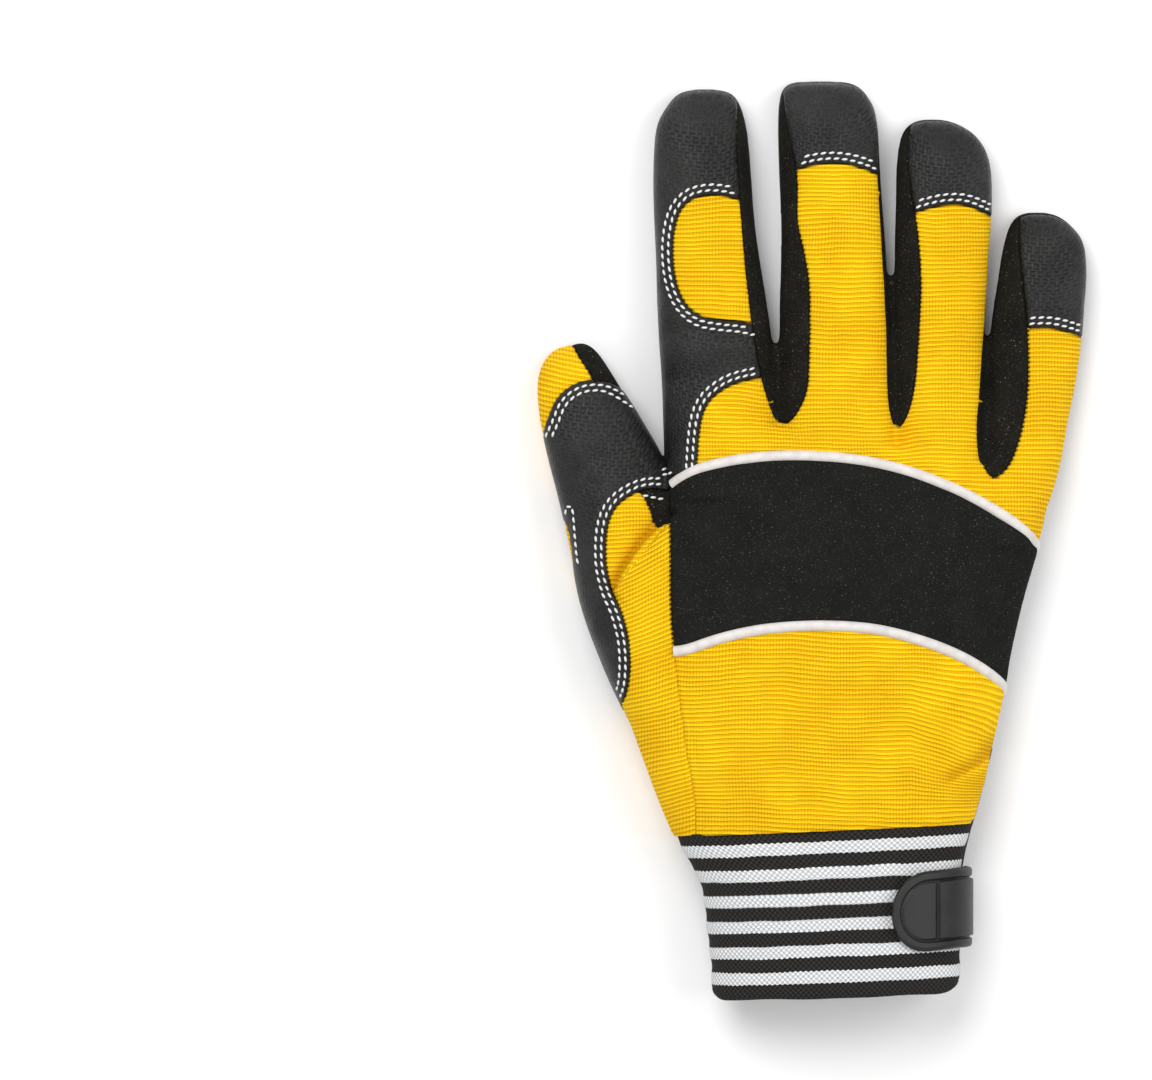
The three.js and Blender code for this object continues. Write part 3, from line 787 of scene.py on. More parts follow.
def neighbour_sums(points, pairs):
    """The sum of the points that each point is paired with."""
    sums = np.zeros_like(points)
    np.add.at(sums, pairs[:, 0], points[pairs[:, 1]])
    np.add.at(sums, pairs[:, 1], points[pairs[:, 0]])
    return sums


def snap_seams(points, on_seam, sideways, up, samples):
    """Moves seam points on to the seam lines of their side, or to the height of the side seam."""
    for at in on_seam:
        x, y, z = points[at] / MM
        if sideways[at]:
            points[at, 2] = parting(x, y) * MM
        elif abs(up[at, 2]) >= STEEP:
            spot, _, away = samples["back" if z > parting(x, y) else "palm"].find((x, y, 0))
            if away < SNAP:
                points[at, :2] = spot[0] * MM, spot[1] * MM


def relax_seams(mesh, label):
    """Turns the stepped borders between pieces into smooth seams that still lie on the form."""
    points = coords(mesh)
    up = normals(mesh)
    form = BVHTree.FromPolygons(points.tolist(), [tuple(face.vertices) for face in mesh.polygons])
    ends = edge_ends(mesh)
    borders, first, second = seam_edges(mesh, label)
    lines = ends[borders]
    total = np.bincount(lines.ravel(), minlength=len(points))
    moving = np.flatnonzero(total == 2)
    sideways = np.zeros(len(points), bool)
    for pair, a, b in zip(lines, first, second):
        if is_parting(NAMES[a], NAMES[b]):
            sideways[pair] = True
    samples = {"back": seam_samples([*BACK.values(), *PIPING.values()]), "palm": seam_samples(PALM.values())}
    for turn in range(RELAX_ROUNDS):
        points[moving] = 0.5 * points[moving] + 0.25 * neighbour_sums(points, lines)[moving]
        if turn % SNAP_EVERY == 0:
            snap_seams(points, np.flatnonzero(total >= 2), sideways, up, samples)
    on_seam = total > 0
    near = on_seam.copy()
    for _ in range(3):
        near[ends[near[ends].any(axis=1)].ravel()] = True
    free = np.flatnonzero(near & ~on_seam)
    degree = np.bincount(ends.ravel(), minlength=len(points))
    for _ in range(6):
        points[free] = neighbour_sums(points, ends)[free] / degree[free][:, None]
    for at in np.flatnonzero(near):
        place = form.find_nearest(Vector(points[at]))[0]
        if place is not None:
            points[at] = place
    set_coords(mesh, points)


def drop_islands(mesh, label):
    """Gives every small stray patch of a label to the piece around it."""
    ends_of = {}
    for face in mesh.polygons:
        for key in face.edge_keys:
            ends_of.setdefault(key, []).append(face.index)
    neighbours = [[] for _ in range(len(mesh.polygons))]
    for faces in ends_of.values():
        if len(faces) == 2:
            neighbours[faces[0]].append(faces[1])
            neighbours[faces[1]].append(faces[0])
    seen = np.zeros(len(label), bool)
    patches = []
    for start in range(len(label)):
        if seen[start]:
            continue
        stack, patch = [start], []
        seen[start] = True
        while stack:
            at = stack.pop()
            patch.append(at)
            for other in neighbours[at]:
                if not seen[other] and label[other] == label[start]:
                    seen[other] = True
                    stack.append(other)
        patches.append(patch)
    largest = {}
    for patch in patches:
        largest[label[patch[0]]] = max(largest.get(label[patch[0]], 0), len(patch))
    result = label.copy()
    for patch in sorted(patches, key=len):
        if len(patch) < 0.2 * largest[label[patch[0]]]:
            around = [result[other] for at in patch for other in neighbours[at] if result[other] != label[at]]
            if around:
                result[patch] = max(set(around), key=around.count)
    return result


def seam_kind(here, there):
    """How a piece meets its neighbour: sewn into a groove, laid over it, under it, or beside a piping."""
    pair = {here, there}
    if pair & FOURCHETTES:
        return "sewn"
    if "knuckle_panel" in pair:
        return "sewn" if pair & {"thumb_panel", "thumb_web"} else "piped"
    if pair == {"thumb_panel", "back_hand_panel"}:
        return "joined"
    if pair == {"thumb_panel", "thumb_leather"}:
        return "over" if here == "thumb_leather" else "under"
    if (here in PALM_SIDE) != (there in PALM_SIDE):
        return "sewn"
    if pair == {"palm_leather", "thenar_patch"}:
        return "over" if here == "palm_leather" else "under"
    above, below = (PIECES[name][0] in (LEATHER, GRAIN) for name in (here, there))
    if above == below:
        return "sewn"
    return "over" if above else "under"


# The sewn pieces


def distance_to(points, anchors):
    """Distance in millimetres from each point to the nearest anchor, up to REACH."""
    if not anchors:
        return np.full(len(points), REACH)
    tree = tree_of(anchors)
    return np.array([min(REACH, tree.find(point)[2] / MM) for point in points])


def cloth_attribute(piece, name, edge_distance):
    """Weave coordinates in millimetres with the distance to the nearest edge, and the shade below a fold."""
    points = coords(piece.data) / MM
    x, y = points[:, 0], points[:, 1]
    along = y
    if name == "thumb_panel":
        (x_lip, y_lip), (x_low, y_low) = LIPS[0][0][0], LIPS[0][0][-1]
        above = (y - y_lip) > (x - x_lip) * (y_lip - y_low) / (x_lip - x_low)
        low = y + np.interp(y, *RIB_SLOPES["thumb_low"]) * (x + 50)
        along = np.where(above, y + np.interp(y, *RIB_SLOPES["thumb_high"]) * (x + 58), low)
    if name == "back_hand_panel":
        along = y + np.clip(x - 28, 0, None) * np.interp(y, *RIB_SLOPES["outer_fold"])
    if name in ("thumb_panel", "back_hand_panel"):
        reach, signed = beside(LIPS[0 if name == "thumb_panel" else 1][0], x, y)
        shade = np.exp(-((reach / 3.2) ** 2)) * (signed < 0.3) * (points[:, 2] > PARTING)
        store(piece.data, "shade", np.stack([shade] * 3, axis=1))
    store(piece.data, "cloth", np.stack([x, along, edge_distance], axis=1))


def split_form(form, label):
    """Cuts the form along its seams into one object for each piece."""
    mesh = form.data
    for name in NAMES:
        mesh.materials.append(bpy.data.materials.new("label_" + name))
    mesh.polygons.foreach_set("material_index", label.astype(np.int32))
    store(mesh, "form_normal", normals(mesh))
    before = set(bpy.data.objects) - {form}
    with edit_mode(form):
        bpy.ops.mesh.separate(type="MATERIAL")
    found = {}
    for obj in set(bpy.data.objects) - before:
        name = obj.data.materials[obj.data.polygons[0].material_index].name.removeprefix("label_")
        obj.name = name + "_sewn"
        obj.data.name = obj.name
        found[name] = obj
    for obj in found.values():
        obj.data.materials.clear()
    for material in list(bpy.data.materials):
        if material.name.startswith("label_"):
            bpy.data.materials.remove(material)
    missing = [name for name in NAMES if name not in found]
    if missing:
        raise RuntimeError("the form holds no " + ", ".join(missing))
    return {name: found[name] for name in NAMES}


def thicken(piece, thickness):
    """Gives a sewn piece its thickness, with the inner face straight below the outer one."""
    outer = coords(piece.data)
    inner = outer - form_normals(piece.data) * thickness
    add_modifier(piece, "SOLIDIFY", thickness=thickness, offset=-1.0, use_quality_normals=True)
    if len(piece.data.vertices) != 2 * len(outer):
        raise RuntimeError(piece.name + " has an inner face that differs from its outer one")
    set_coords(piece.data, np.vstack([outer, inner]))


def shape_piece(piece, name, anchors):
    """Raises, puffs and rolls one piece, presses in its joined edges, and stores its weave."""
    mesh = piece.data
    points = coords(mesh)
    outward = form_normals(mesh)
    kinds = ("sewn", "over", "joined", "rim")
    sewn, over, joined, rim = (distance_to(points, anchors[kind]) for kind in kinds)
    under = distance_to(points, anchors["under"] + anchors["piped"])
    finish, lift, puff = PIECES[name]
    if finish in (GRAIN, LEATHER):
        lift = lift * np.clip(np.abs(outward[:, 2]) * FADING, 0.3, 1)
    grown = lift + puff * (1 - np.exp(-np.minimum(np.minimum(sewn, under), joined) / PUFF_WIDTH))
    grown = grown - EDGE_SHARE * rolled(over, EDGE_RADIUS)
    share = np.clip(1 - sewn / SEAM_WIDTH, 0, 1)
    grown = (grown + SEAM_DEPTH) * np.sqrt(1 - share**2) - SEAM_DEPTH
    for depth, away, width in ((0.45, 0.0, 0.7), (0.25, 2.4, 0.6)):
        grown = grown - depth * np.exp(-(((joined - away) / width) ** 2))
    grown = grown - RIM_SHARE * rolled(rim, RIM_RADIUS)
    points += outward * (grown * MM)[:, None]
    points[:, 2] = np.maximum(points[:, 2], LOWEST * MM)
    set_coords(mesh, points)
    edge = np.minimum(sewn, under)
    cloth_attribute(piece, name, edge if finish in (KNIT, CLOTH) else np.minimum(edge, over))


def make_panels(voxel):
    """All sewn pieces of the glove."""
    form = make_form(voxel)
    mesh = form.data
    centres = (fetch(mesh.polygons, "center", 3) / MM).astype(float)
    facing = fetch(mesh.polygons, "normal", 3)
    label = drop_islands(mesh, label_faces(*centres.T, facing[:, 2]))
    relax_seams(mesh, label)
    points = coords(mesh)
    ends = edge_ends(mesh)
    borders, first, second = seam_edges(mesh, label)
    middles = points[ends[borders]].mean(axis=1)
    slope = WRIST_SLOPE * (points[:, 0] - WRIST_MIDDLE * MM)
    rim = list(points[points[:, 1] < (WRIST + 1.2) * MM + slope])
    anchors = {name: {"rim": rim, **{kind: [] for kind in SEAM_KINDS}} for name in NAMES}
    for edge, a, b, middle in zip(borders, first, second, middles):
        for here, there in ((NAMES[a], NAMES[b]), (NAMES[b], NAMES[a])):
            anchors[here][seam_kind(here, there)] += [middle, points[ends[edge][0]]]
    WORK["form"] = Skin([form])
    pieces = split_form(form, label)
    for name, piece in pieces.items():
        shape_piece(piece, name, anchors[name])
    return pieces


# Finding places on the finished surface


def off_walls(x, y, side):
    """Whether a place on the back is clear of the walls between the fingers."""
    if side == "palm":
        return True
    spot = np.array([x]), np.array([y])
    walls = (smooth(BACK[name.removeprefix("fourchette_")]) for name in FOURCHETTES)
    return not any(inside(wall, *spot)[0] for wall in walls)


class Skin:
    """The finished surface of the glove, for laying threads and piping on it."""

    def __init__(self, objects):
        points, faces, start = [], [], 0
        for obj in objects:
            points += [tuple(vertex.co) for vertex in obj.data.vertices]
            faces += [tuple(start + corner for corner in face.vertices) for face in obj.data.polygons]
            start = len(points)
        self.tree = BVHTree.FromPolygons(points, faces)

    def drop(self, x, y, side):
        """The place and normal met by a ray from above, or from below for the palm."""
        sign = 1 if side == "back" else -1
        return self.tree.ray_cast(Vector((x * MM, y * MM, 0.1 * sign)), Vector((0, 0, -sign)))[:2]

    def path(self, points, side, step=0.6, lowest=None):
        """Places and normals along a smooth line; with a lowest level, it goes on down the glove's side."""
        found = []
        for x, y in smooth(points, step):
            place, normal = self.drop(x, y, side)
            if place is not None and abs(normal.z) >= 0.25:
                found.append((place, normal))
            elif lowest is not None and found:
                break
        if lowest is None or not found:
            return found
        last, before = found[-1][0], found[-4][0]
        slope = (last.y - before.y) / max(1e-6, (last - before).length)
        z, y = last.z, last.y
        while z > lowest * MM:
            z -= step * MM
            y += slope * step * MM
            place, normal = self.tree.ray_cast(Vector((0.12, y, z)), Vector((-1, 0, 0)))[:2]
            if place is not None:
                found.append((place, normal))
        return found


def double_rows(line, side, away):
    """Two stitch rows beside an edge; away is 1 for the left of the line and -1 for its right."""
    points = smooth(line, 1.5)
    outer = shifted(points, away * FIRST_ROW)
    inner = shifted(points, away * (FIRST_ROW + ROW_GAP))
    return [(outer, side, 0.5), (inner, side, 1.7)]


def thread_body(shape, at, known, line, up):
    """One stitch as a capsule on the surface, slightly turned and bowed, and its own coordinates."""
    turn, bow, lift = 0.16, 0.16, 0.12
    half = THREAD_LENGTH / 2
    middle = between(at + half, known, line)
    tip = between(at + THREAD_LENGTH, known, line)
    normal = between(at + half, known, up)
    normal /= np.linalg.norm(normal)
    forward = tip - middle
    forward -= normal * (forward @ normal)
    forward /= max(1e-9, np.linalg.norm(forward))
    across = np.cross(normal, forward)
    forward = (forward + turn * across) / np.linalg.norm(forward + turn * across)
    body = shape * [THREAD_RADIUS, half, THREAD_RADIUS]
    height = body[:, 2:3] - bow * (body[:, 1:2] / half) ** 2
    return middle + normal * lift + body[:, :1] * across + body[:, 1:2] * forward + height * normal, body


def lay_stitches(name, runs, skin, pitch):
    """Threads lying on the surface: one capsule for each visible stitch of each run."""
    bpy.ops.object.select_all(action="DESELECT")
    bpy.ops.mesh.primitive_uv_sphere_add(segments=6, ring_count=5, radius=1.0)
    seed = bpy.context.object
    shape = coords(seed.data)
    faces = [tuple(face.vertices) for face in seed.data.polygons]
    bpy.data.objects.remove(seed)
    points, polygons, own = [], [], []
    for line, side, first in runs:
        places = [found for found in skin.path(line, side, 0.3)
                  if off_walls(found[0].x / MM, found[0].y / MM, side)]
        if len(places) < 6:
            continue
        path = np.array([tuple(place) for place, _ in places]) / MM
        up = np.array([tuple(normal) for _, normal in places])
        wrong = up[:, 2] > 0 if side == "palm" else up[:, 2] < 0
        up[wrong] *= -1
        known = travelled(path)
        steps = np.linalg.norm(np.diff(path, axis=0), axis=1)
        at = first - pitch
        while at + pitch + THREAD_LENGTH < known[-1]:
            at += pitch
            if np.interp([at, at + THREAD_LENGTH], known[1:], steps).max() > 0.9:
                continue
            solid, body = thread_body(shape, at, known, path, up)
            polygons.extend(tuple(len(points) + corner for corner in face) for face in faces)
            points.extend(solid * MM)
            own.extend(body)
    if not points:
        raise RuntimeError(name + " found no surface to lie on")
    mesh = bpy.data.meshes.new(name)
    mesh.from_pydata([tuple(point) for point in points], [], polygons)
    store(mesh, "cloth", np.array(own))
    obj = bpy.data.objects.new(name, mesh)
    bpy.context.collection.objects.link(obj)
    face_outwards(obj)
    return obj


def way_round(x, y, z, pitch):
    """Length round the cuff from its thumb side, made to hold a whole number of pitches."""
    middle, width, height = section(CUFF, y)
    across = signed_power((x - middle) / (width / 2), ROUNDNESS / 2)
    up = signed_power((z - height / 2 + PRESSED) / (height / 2), ROUNDNESS / 2)
    turns = np.linspace(-math.pi, math.pi, 721)
    length = travelled(np.array([section_point(CUFF, -110, turn) for turn in turns]))
    length *= round(length[-1] / pitch) * pitch / length[-1]
    return np.interp(np.arctan2(up, across), turns, length)


# Shader maths


class Wire:
    """A value in a material: sums and products of wires add their math nodes."""

    def __init__(self, graph, socket):
        self.graph = graph
        self.socket = socket

    def __add__(self, other):
        return self.graph.math("ADD", self, other)

    def __sub__(self, other):
        return self.graph.math("SUBTRACT", self, other)

    def __mul__(self, other):
        return self.graph.math("MULTIPLY", self, other)

    def __truediv__(self, other):
        return self.graph.math("DIVIDE", self, other)

    def __rsub__(self, other):
        return self.graph.math("SUBTRACT", other, self)

    __radd__ = __add__
    __rmul__ = __mul__


class Graph:
    """A material under construction."""

    def __init__(self, name, **shader):
        self.material = bpy.data.materials.new(name)
        self.material.use_nodes = True
        self.nodes = self.material.node_tree.nodes
        self.links = self.material.node_tree.links
        self.shader = self.nodes["Principled BSDF"]
        for key, value in shader.items():
            self.shader.inputs[key.replace("_", " ")].default_value = value

    def feed(self, socket, value):
        if isinstance(value, Wire):
            self.links.new(value.socket, socket)
        elif isinstance(value, tuple) and len(value) == 3 and len(socket.default_value) == 4:
            socket.default_value = (*value, 1.0)
        else:
            socket.default_value = value

    def node(self, kind, settings=None, output=0, **inputs):
        """Any node: its settings first, then the values or links of its sockets."""
        node = self.nodes.new("ShaderNode" + kind)
        for key, value in (settings or {}).items():
            setattr(node, key, value)
        for key, value in inputs.items():
            slot = int(key[1:]) if key[0] == "i" and key[1:].isdigit() else key.replace("_", " ")
            self.feed(node.inputs[slot], value)
        return Wire(self, node.outputs[output])

    def math(self, operation, *values):
        inputs = {f"i{at}": value for at, value in enumerate(values)}
        return self.node("Math", {"operation": operation}, **inputs)

    def mix(self, factor, first, second):
        return self.node("Mix", {"data_type": "RGBA"}, output=2, i0=factor, i6=first, i7=second)

    def span(self, value, low, high, to_low=0.0, to_high=1.0):
        """A value fitted smoothly from one range to another."""
        limits = {"From_Min": low, "From_Max": high, "To_Min": to_low, "To_Max": to_high}
        return self.node("MapRange", {"interpolation_type": "SMOOTHSTEP"}, Value=value, **limits)

    def place(self):
        """Object coordinates in millimetres."""
        spot = self.node("TexCoord", output="Object")
        return self.node("VectorMath", {"operation": "SCALE"}, i0=spot, Scale=1 / MM)

    def attribute(self, name):
        return self.node("Attribute", {"attribute_name": name}, output="Vector")

    def split(self, vector):
        node = self.node("SeparateXYZ", i0=vector).socket.node
        return [Wire(self, node.outputs[at]) for at in range(3)]

    def noise(self, vector, scale, detail=2.0, roughness=0.5):
        look = {"Scale": scale, "Detail": detail, "Roughness": roughness}
        return self.node("TexNoise", output="Fac", Vector=vector, **look)

    def cells(self, vector, scale, feature="F1"):
        return self.node("TexVoronoi", {"feature": feature}, output="Distance", Vector=vector, Scale=scale)

    def wave(self, value, pitch):
        """A smooth wave from 0 to 1 with a pitch in the value's own units."""
        return self.math("COSINE", value * (2 * math.pi / pitch)) * 0.5 + 0.5

    def bump(self, height, distance, strength=1.0):
        return self.node("Bump", output="Normal", Height=height, Distance=distance * MM, Strength=strength)

    def finish(self, **feeds):
        for key, value in feeds.items():
            self.feed(self.shader.inputs[key.replace("_", " ")], value)
        return self.material


def linear(red, green, blue):
    """A colour from its 0 to 255 screen values."""
    def one(value):
        value /= 255
        return value / 12.92 if value <= 0.04045 else ((value + 0.055) / 1.055) ** 2.4

    return one(red), one(green), one(blue)


def knit_material(settings, colours):
    """Yellow stretch cloth: round ribs across, split into cells by thin columns."""
    g = Graph("yellow_rib_knit", Specular_IOR_Level=0.12)
    u, v, edge = g.split(g.attribute("cloth"))
    spot = g.place()
    drift = g.noise(spot, 0.022, 2.0)
    waver = g.noise(spot, 0.3, 2.0)
    v = v + (drift - 0.5) * 7.0 + (waver - 0.5) * 0.35
    u = u + (drift - 0.5) * 3.0 + (waver - 0.5) * 0.5
    rib = g.wave(v, settings.rib_pitch)
    column = g.wave(u, settings.column_pitch)
    shown = g.span(g.noise(spot, 0.055, 2.0), 0.38, 0.62, 0.25, 1.0)
    groove = g.span(rib, 0.0, 0.42, 1.0, 0.0)
    slot = g.span(column, 0.0, 0.32, 1.0, 0.0) * shown
    patch = g.noise(spot, 0.09, 3.0)
    fuzz = g.noise(spot, 2.6, 3.0)
    tone = g.mix(g.span(patch, 0.3, 0.7), *colours["knit"])
    # Painted highlight on the rib tops, and painted shade in the grooves, along the columns and where both
    # cross
    tone = g.mix(rib * g.span(fuzz, 0.3, 0.7, 0.5, 1.0) * 0.6, tone, linear(255, 221, 34))
    grooved = g.mix(groove * 0.66, tone, linear(234, 152, 0))
    split = g.mix(slot * 0.3, grooved, linear(212, 138, 0))
    dotted = g.mix(slot * groove * 0.62, split, linear(160, 96, 0))
    # Painted shade and grime along the seams, broken up by the ribs
    seam_shade_and_grime = g.span(edge, 0.2, 0.7, 1.0, 0.0) * (1 - rib * 0.8)
    shaded = g.mix(g.split(g.attribute("shade"))[0] * 0.55, dotted, linear(196, 128, 0))
    colour = g.mix(seam_shade_and_grime, shaded, linear(58, 34, 10))
    height = g.span(rib, 0.0, 0.75) * (1 - slot * 0.35) + fuzz * 0.22
    return g.finish(Base_Color=colour, Roughness=0.9, Normal=g.bump(height, 0.42))


def leather_material(name, dark, light, emboss, roughness):
    """Synthetic leather: small embossed squares in staggered rows over a fine pore grain."""
    g = Graph(name, Specular_IOR_Level=0.34)
    spot = g.place()
    x, y, z = g.split(spot)
    bend = (g.noise(spot, 0.03, 2.0) - 0.5) * 5.0 + z * 0.8
    across_pitch, down_pitch, half_square = 2.4, 2.1, 0.6
    row = (y + bend) / down_pitch
    down = g.math("ABSOLUTE", g.math("FRACT", row) - 0.5) * down_pitch
    column = (x + bend * 0.4) / across_pitch + g.math("FLOOR", row) * 0.5
    across = g.math("ABSOLUTE", g.math("FRACT", column) - 0.5) * across_pitch
    away = g.math("ABSOLUTE", g.math("MAXIMUM", down, across) - half_square)
    mark = g.span(away, 0.06, 0.3, 1.0, 0.0) * g.span(down - across, -0.1, 0.1, 0.5, 1.0)
    faded = g.span(g.noise(spot, 0.06, 2.0), 0.34, 0.6, 0.4, 1.0)
    pores = g.cells(spot, 1.9, "DISTANCE_TO_EDGE")
    patch = g.noise(spot, 0.09, 3.0)
    fine = g.noise(spot, 1.4, 3.0)
    soft = g.noise(spot, 0.13, 2.0)
    edge = g.split(g.attribute("cloth"))[2]
    tone = g.mix(g.span(patch, 0.3, 0.7), dark, light)
    tone = g.mix(g.span(fine, 0.35, 0.75, 0.0, 0.3), tone, tuple(2.0 * part for part in light))
    # Painted shade and grime towards the piece's edges and seams
    edge_grime_and_shade = g.mix(g.span(edge, 0.1, 0.6, 0.5, 0.0), tone, tuple(0.4 * part for part in dark))
    # Painted shade in the embossed outlines of the squares, deeper on one side
    colour = g.mix(mark * faded * 0.8, edge_grime_and_shade, tuple(0.3 * part for part in dark))
    gloss = roughness + (fine - 0.5) * 0.2 + mark * 0.1
    height = fine * 0.35 + g.span(pores, 0.0, 0.25) * 0.25 - mark * faded * emboss + soft * 4.0
    return g.finish(Base_Color=colour, Roughness=gloss, Normal=g.bump(height, 0.3, 0.9))


def suede_material(name, dark, light, sparkle, speck):
    """Brushed microfibre with fine pale specks and a few painted glints."""
    g = Graph(name, Specular_IOR_Level=0.08)
    spot = g.place()
    nap = g.noise(spot, 1.9, 4.0, 0.75)
    patch = g.noise(spot, 0.12, 3.0)
    tone = g.mix(g.span(nap * 0.6 + patch * 0.4, 0.32, 0.68), dark, light)
    fleck = g.span(g.noise(spot, 1.9, 3.0, 0.7), 0.58, 0.76) * speck
    flecked = g.mix(fleck, tone, linear(108, 106, 96))
    glint_cells = g.cells(spot, 0.8)
    # Painted glints: sparse bright points on the nap
    lit = g.span(glint_cells, 0.06, 0.18, sparkle, 0.0) * g.span(g.noise(spot, 0.5, 1.0), 0.45, 0.6)
    colour = g.mix(lit, flecked, linear(150, 148, 134))
    return g.finish(Base_Color=colour, Roughness=0.95, Normal=g.bump(nap + patch, 0.34, 0.8))


def piping_material(colours):
    g = Graph("white_piping", Specular_IOR_Level=0.4)
    soft = g.noise(g.place(), 0.35, 2.0)
    colour = g.mix(g.span(soft, 0.3, 0.7), *colours["piping"])
    return g.finish(Base_Color=colour, Roughness=0.5, Normal=g.bump(soft, 0.05, 0.5))


def thread_material(colours):
    g = Graph("white_thread", Specular_IOR_Level=0.25)
    x, y, _ = g.split(g.attribute("cloth"))
    twist = g.wave(y + x * 1.4, 0.5)
    colour = g.mix(twist, *colours["thread"])
    return g.finish(Base_Color=colour, Roughness=0.6, Normal=g.bump(twist, 0.08))


def rubber_material(colours):
    g = Graph("moulded_rubber", Specular_IOR_Level=0.4)
    spot = g.place()
    fine = g.noise(spot, 3.0, 2.0)
    patch = g.noise(spot, 0.14, 3.0)
    depth = g.split(g.attribute("cloth"))[2]
    tone = g.mix(g.span(patch, 0.3, 0.7), *colours["rubber"])
    # Painted shade in the tab's grooves, darker where they are deeper
    colour = g.mix(depth, tone, linear(7, 7, 7))
    return g.finish(Base_Color=colour, Roughness=0.36 + patch * 0.2, Normal=g.bump(fine, 0.08, 0.5))


def elastic_material(settings, colours):
    """Woven elastic: white stripes with scalloped edges, and yarns leaning to and fro."""
    g = Graph("striped_elastic", Specular_IOR_Level=0.12)
    u, v, _ = g.split(g.attribute("cloth"))
    spot = g.place()
    pitch, start, last = settings.elastic_pitch, settings.stripe_start, settings.stripe_last
    waver = g.noise(spot, 0.1, 2.0)
    scallop = (g.wave(u, pitch) - 0.5) * 0.24
    along = v + scallop + (waver - 0.5) * 0.8
    cycle = g.math("FRACT", (along - start) / settings.stripe_pitch)
    share = settings.stripe_white / settings.stripe_pitch
    white = g.span(cycle, 0.0, 0.03) * g.span(cycle, share, share + 0.03, 1.0, 0.0)
    white = white * g.span(v, start - 0.6, start - 0.3) * g.span(v, last, last + 0.3, 1.0, 0.0)
    turn = g.math("COSINE", u * (2 * math.pi / pitch))
    rows = g.math("COSINE", (v - start) * (2 * math.pi / pitch))
    pearl = g.span(turn * rows, -0.7, 0.5)
    fuzz = g.noise(spot, 2.2, 3.0)
    dark = g.mix(pearl * 0.8 + (fuzz - 0.5) * 0.6, *colours["stripe_black"])
    light = g.mix(pearl * 0.8 + (fuzz - 0.4) * 0.5, *colours["stripe_white"])
    colour = g.mix(white, dark, light)
    return g.finish(Base_Color=colour, Roughness=0.85, Normal=g.bump(pearl + fuzz * 0.3, 0.26))


def make_materials(settings, chosen):
    """All materials of the glove; each chosen colour is a pair of its dark and its light tone."""
    colours = {}
    for look in TONES:
        colours[look] = tuple(getattr(chosen, look + "_dark")), tuple(getattr(chosen, look + "_light"))
    return {
        KNIT: knit_material(settings, colours),
        LEATHER: leather_material("black_embossed_leather", *colours["leather"], 0.9, 0.38),
        GRAIN: leather_material("charcoal_embossed_leather", *colours["palm"], 1.0, 0.46),
        SUEDE: suede_material("black_suede", *colours["suede"], 0.6, 0.55),
        CLOTH: suede_material("knuckle_cloth", *colours["knuckle"], 0.3, 0.5),
        "piping": piping_material(colours),
        "thread": thread_material(colours),
        "rubber": rubber_material(colours),
        "striped_elastic": elastic_material(settings, colours),
    }


# Settings and operators


def finish_piece(obj, look, slot, *nodes):
    """Gives an object its shading and material, ties it to its body and hides the solids it replaces; its
    slot is not used.
    """
    only(obj)
    bpy.ops.object.shade_smooth()
    obj.data.materials.append(WORK["materials"][look])
    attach(obj, "root")
    if nodes:
        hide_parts(*nodes)


def size(name, description, default, least=0.0):
    """A property that holds a size in millimetres."""
    return bpy.props.FloatProperty(name=name, description=description + ", in mm", default=default, min=least)


def tone_properties():
    """Two colour properties for each material: its dark and its light tone."""
    found = {}
    for look, tones in TONES.items():
        for kind, screen in zip(("dark", "light"), tones):
            label = f"{look}, {kind} tone".replace("_", " ").capitalize()
            found[f"{look}_{kind}"] = bpy.props.FloatVectorProperty(
                name=label, description=f"The {kind} tone of this material's surface", subtype="COLOR",
                min=0.0, max=1.0, default=linear(*screen))
    return found


class GloveSettings(bpy.types.PropertyGroup):
    """Sizes that a user would change"""

    voxel: size("Mesh step", "Edge length of the sewn pieces", 0.68, 0.4)
    thickness: size("Thickness", "Thickness of cloth and leather", 1.1, 0.5)
    rib_pitch: size("Rib pitch", "Distance between the knit's ribs", 1.32)
    column_pitch: size("Column pitch", "Distance between the knit's columns", 0.9)
    stitch_pitch: size("Stitch pitch", "Length of one stitch with its gap", 2.4)
    stripe_pitch: size("Stripe pitch", "Distance between white stripes", 7.44)
    stripe_white: size("White stripe", "Width of a white stripe", 3.45)
    stripe_start: size("First stripe", "Place of the first white stripe", 3.4)
    stripe_last: size("Last stripe", "End of the last white stripe", 44.6)
    elastic_pitch: size("Elastic pitch", "Distance between the elastic's yarns", 1.55)


class GloveColours(bpy.types.PropertyGroup):
    """Colours that a user would change: the dark and the light tone of each material"""

    __annotations__ = tone_properties()


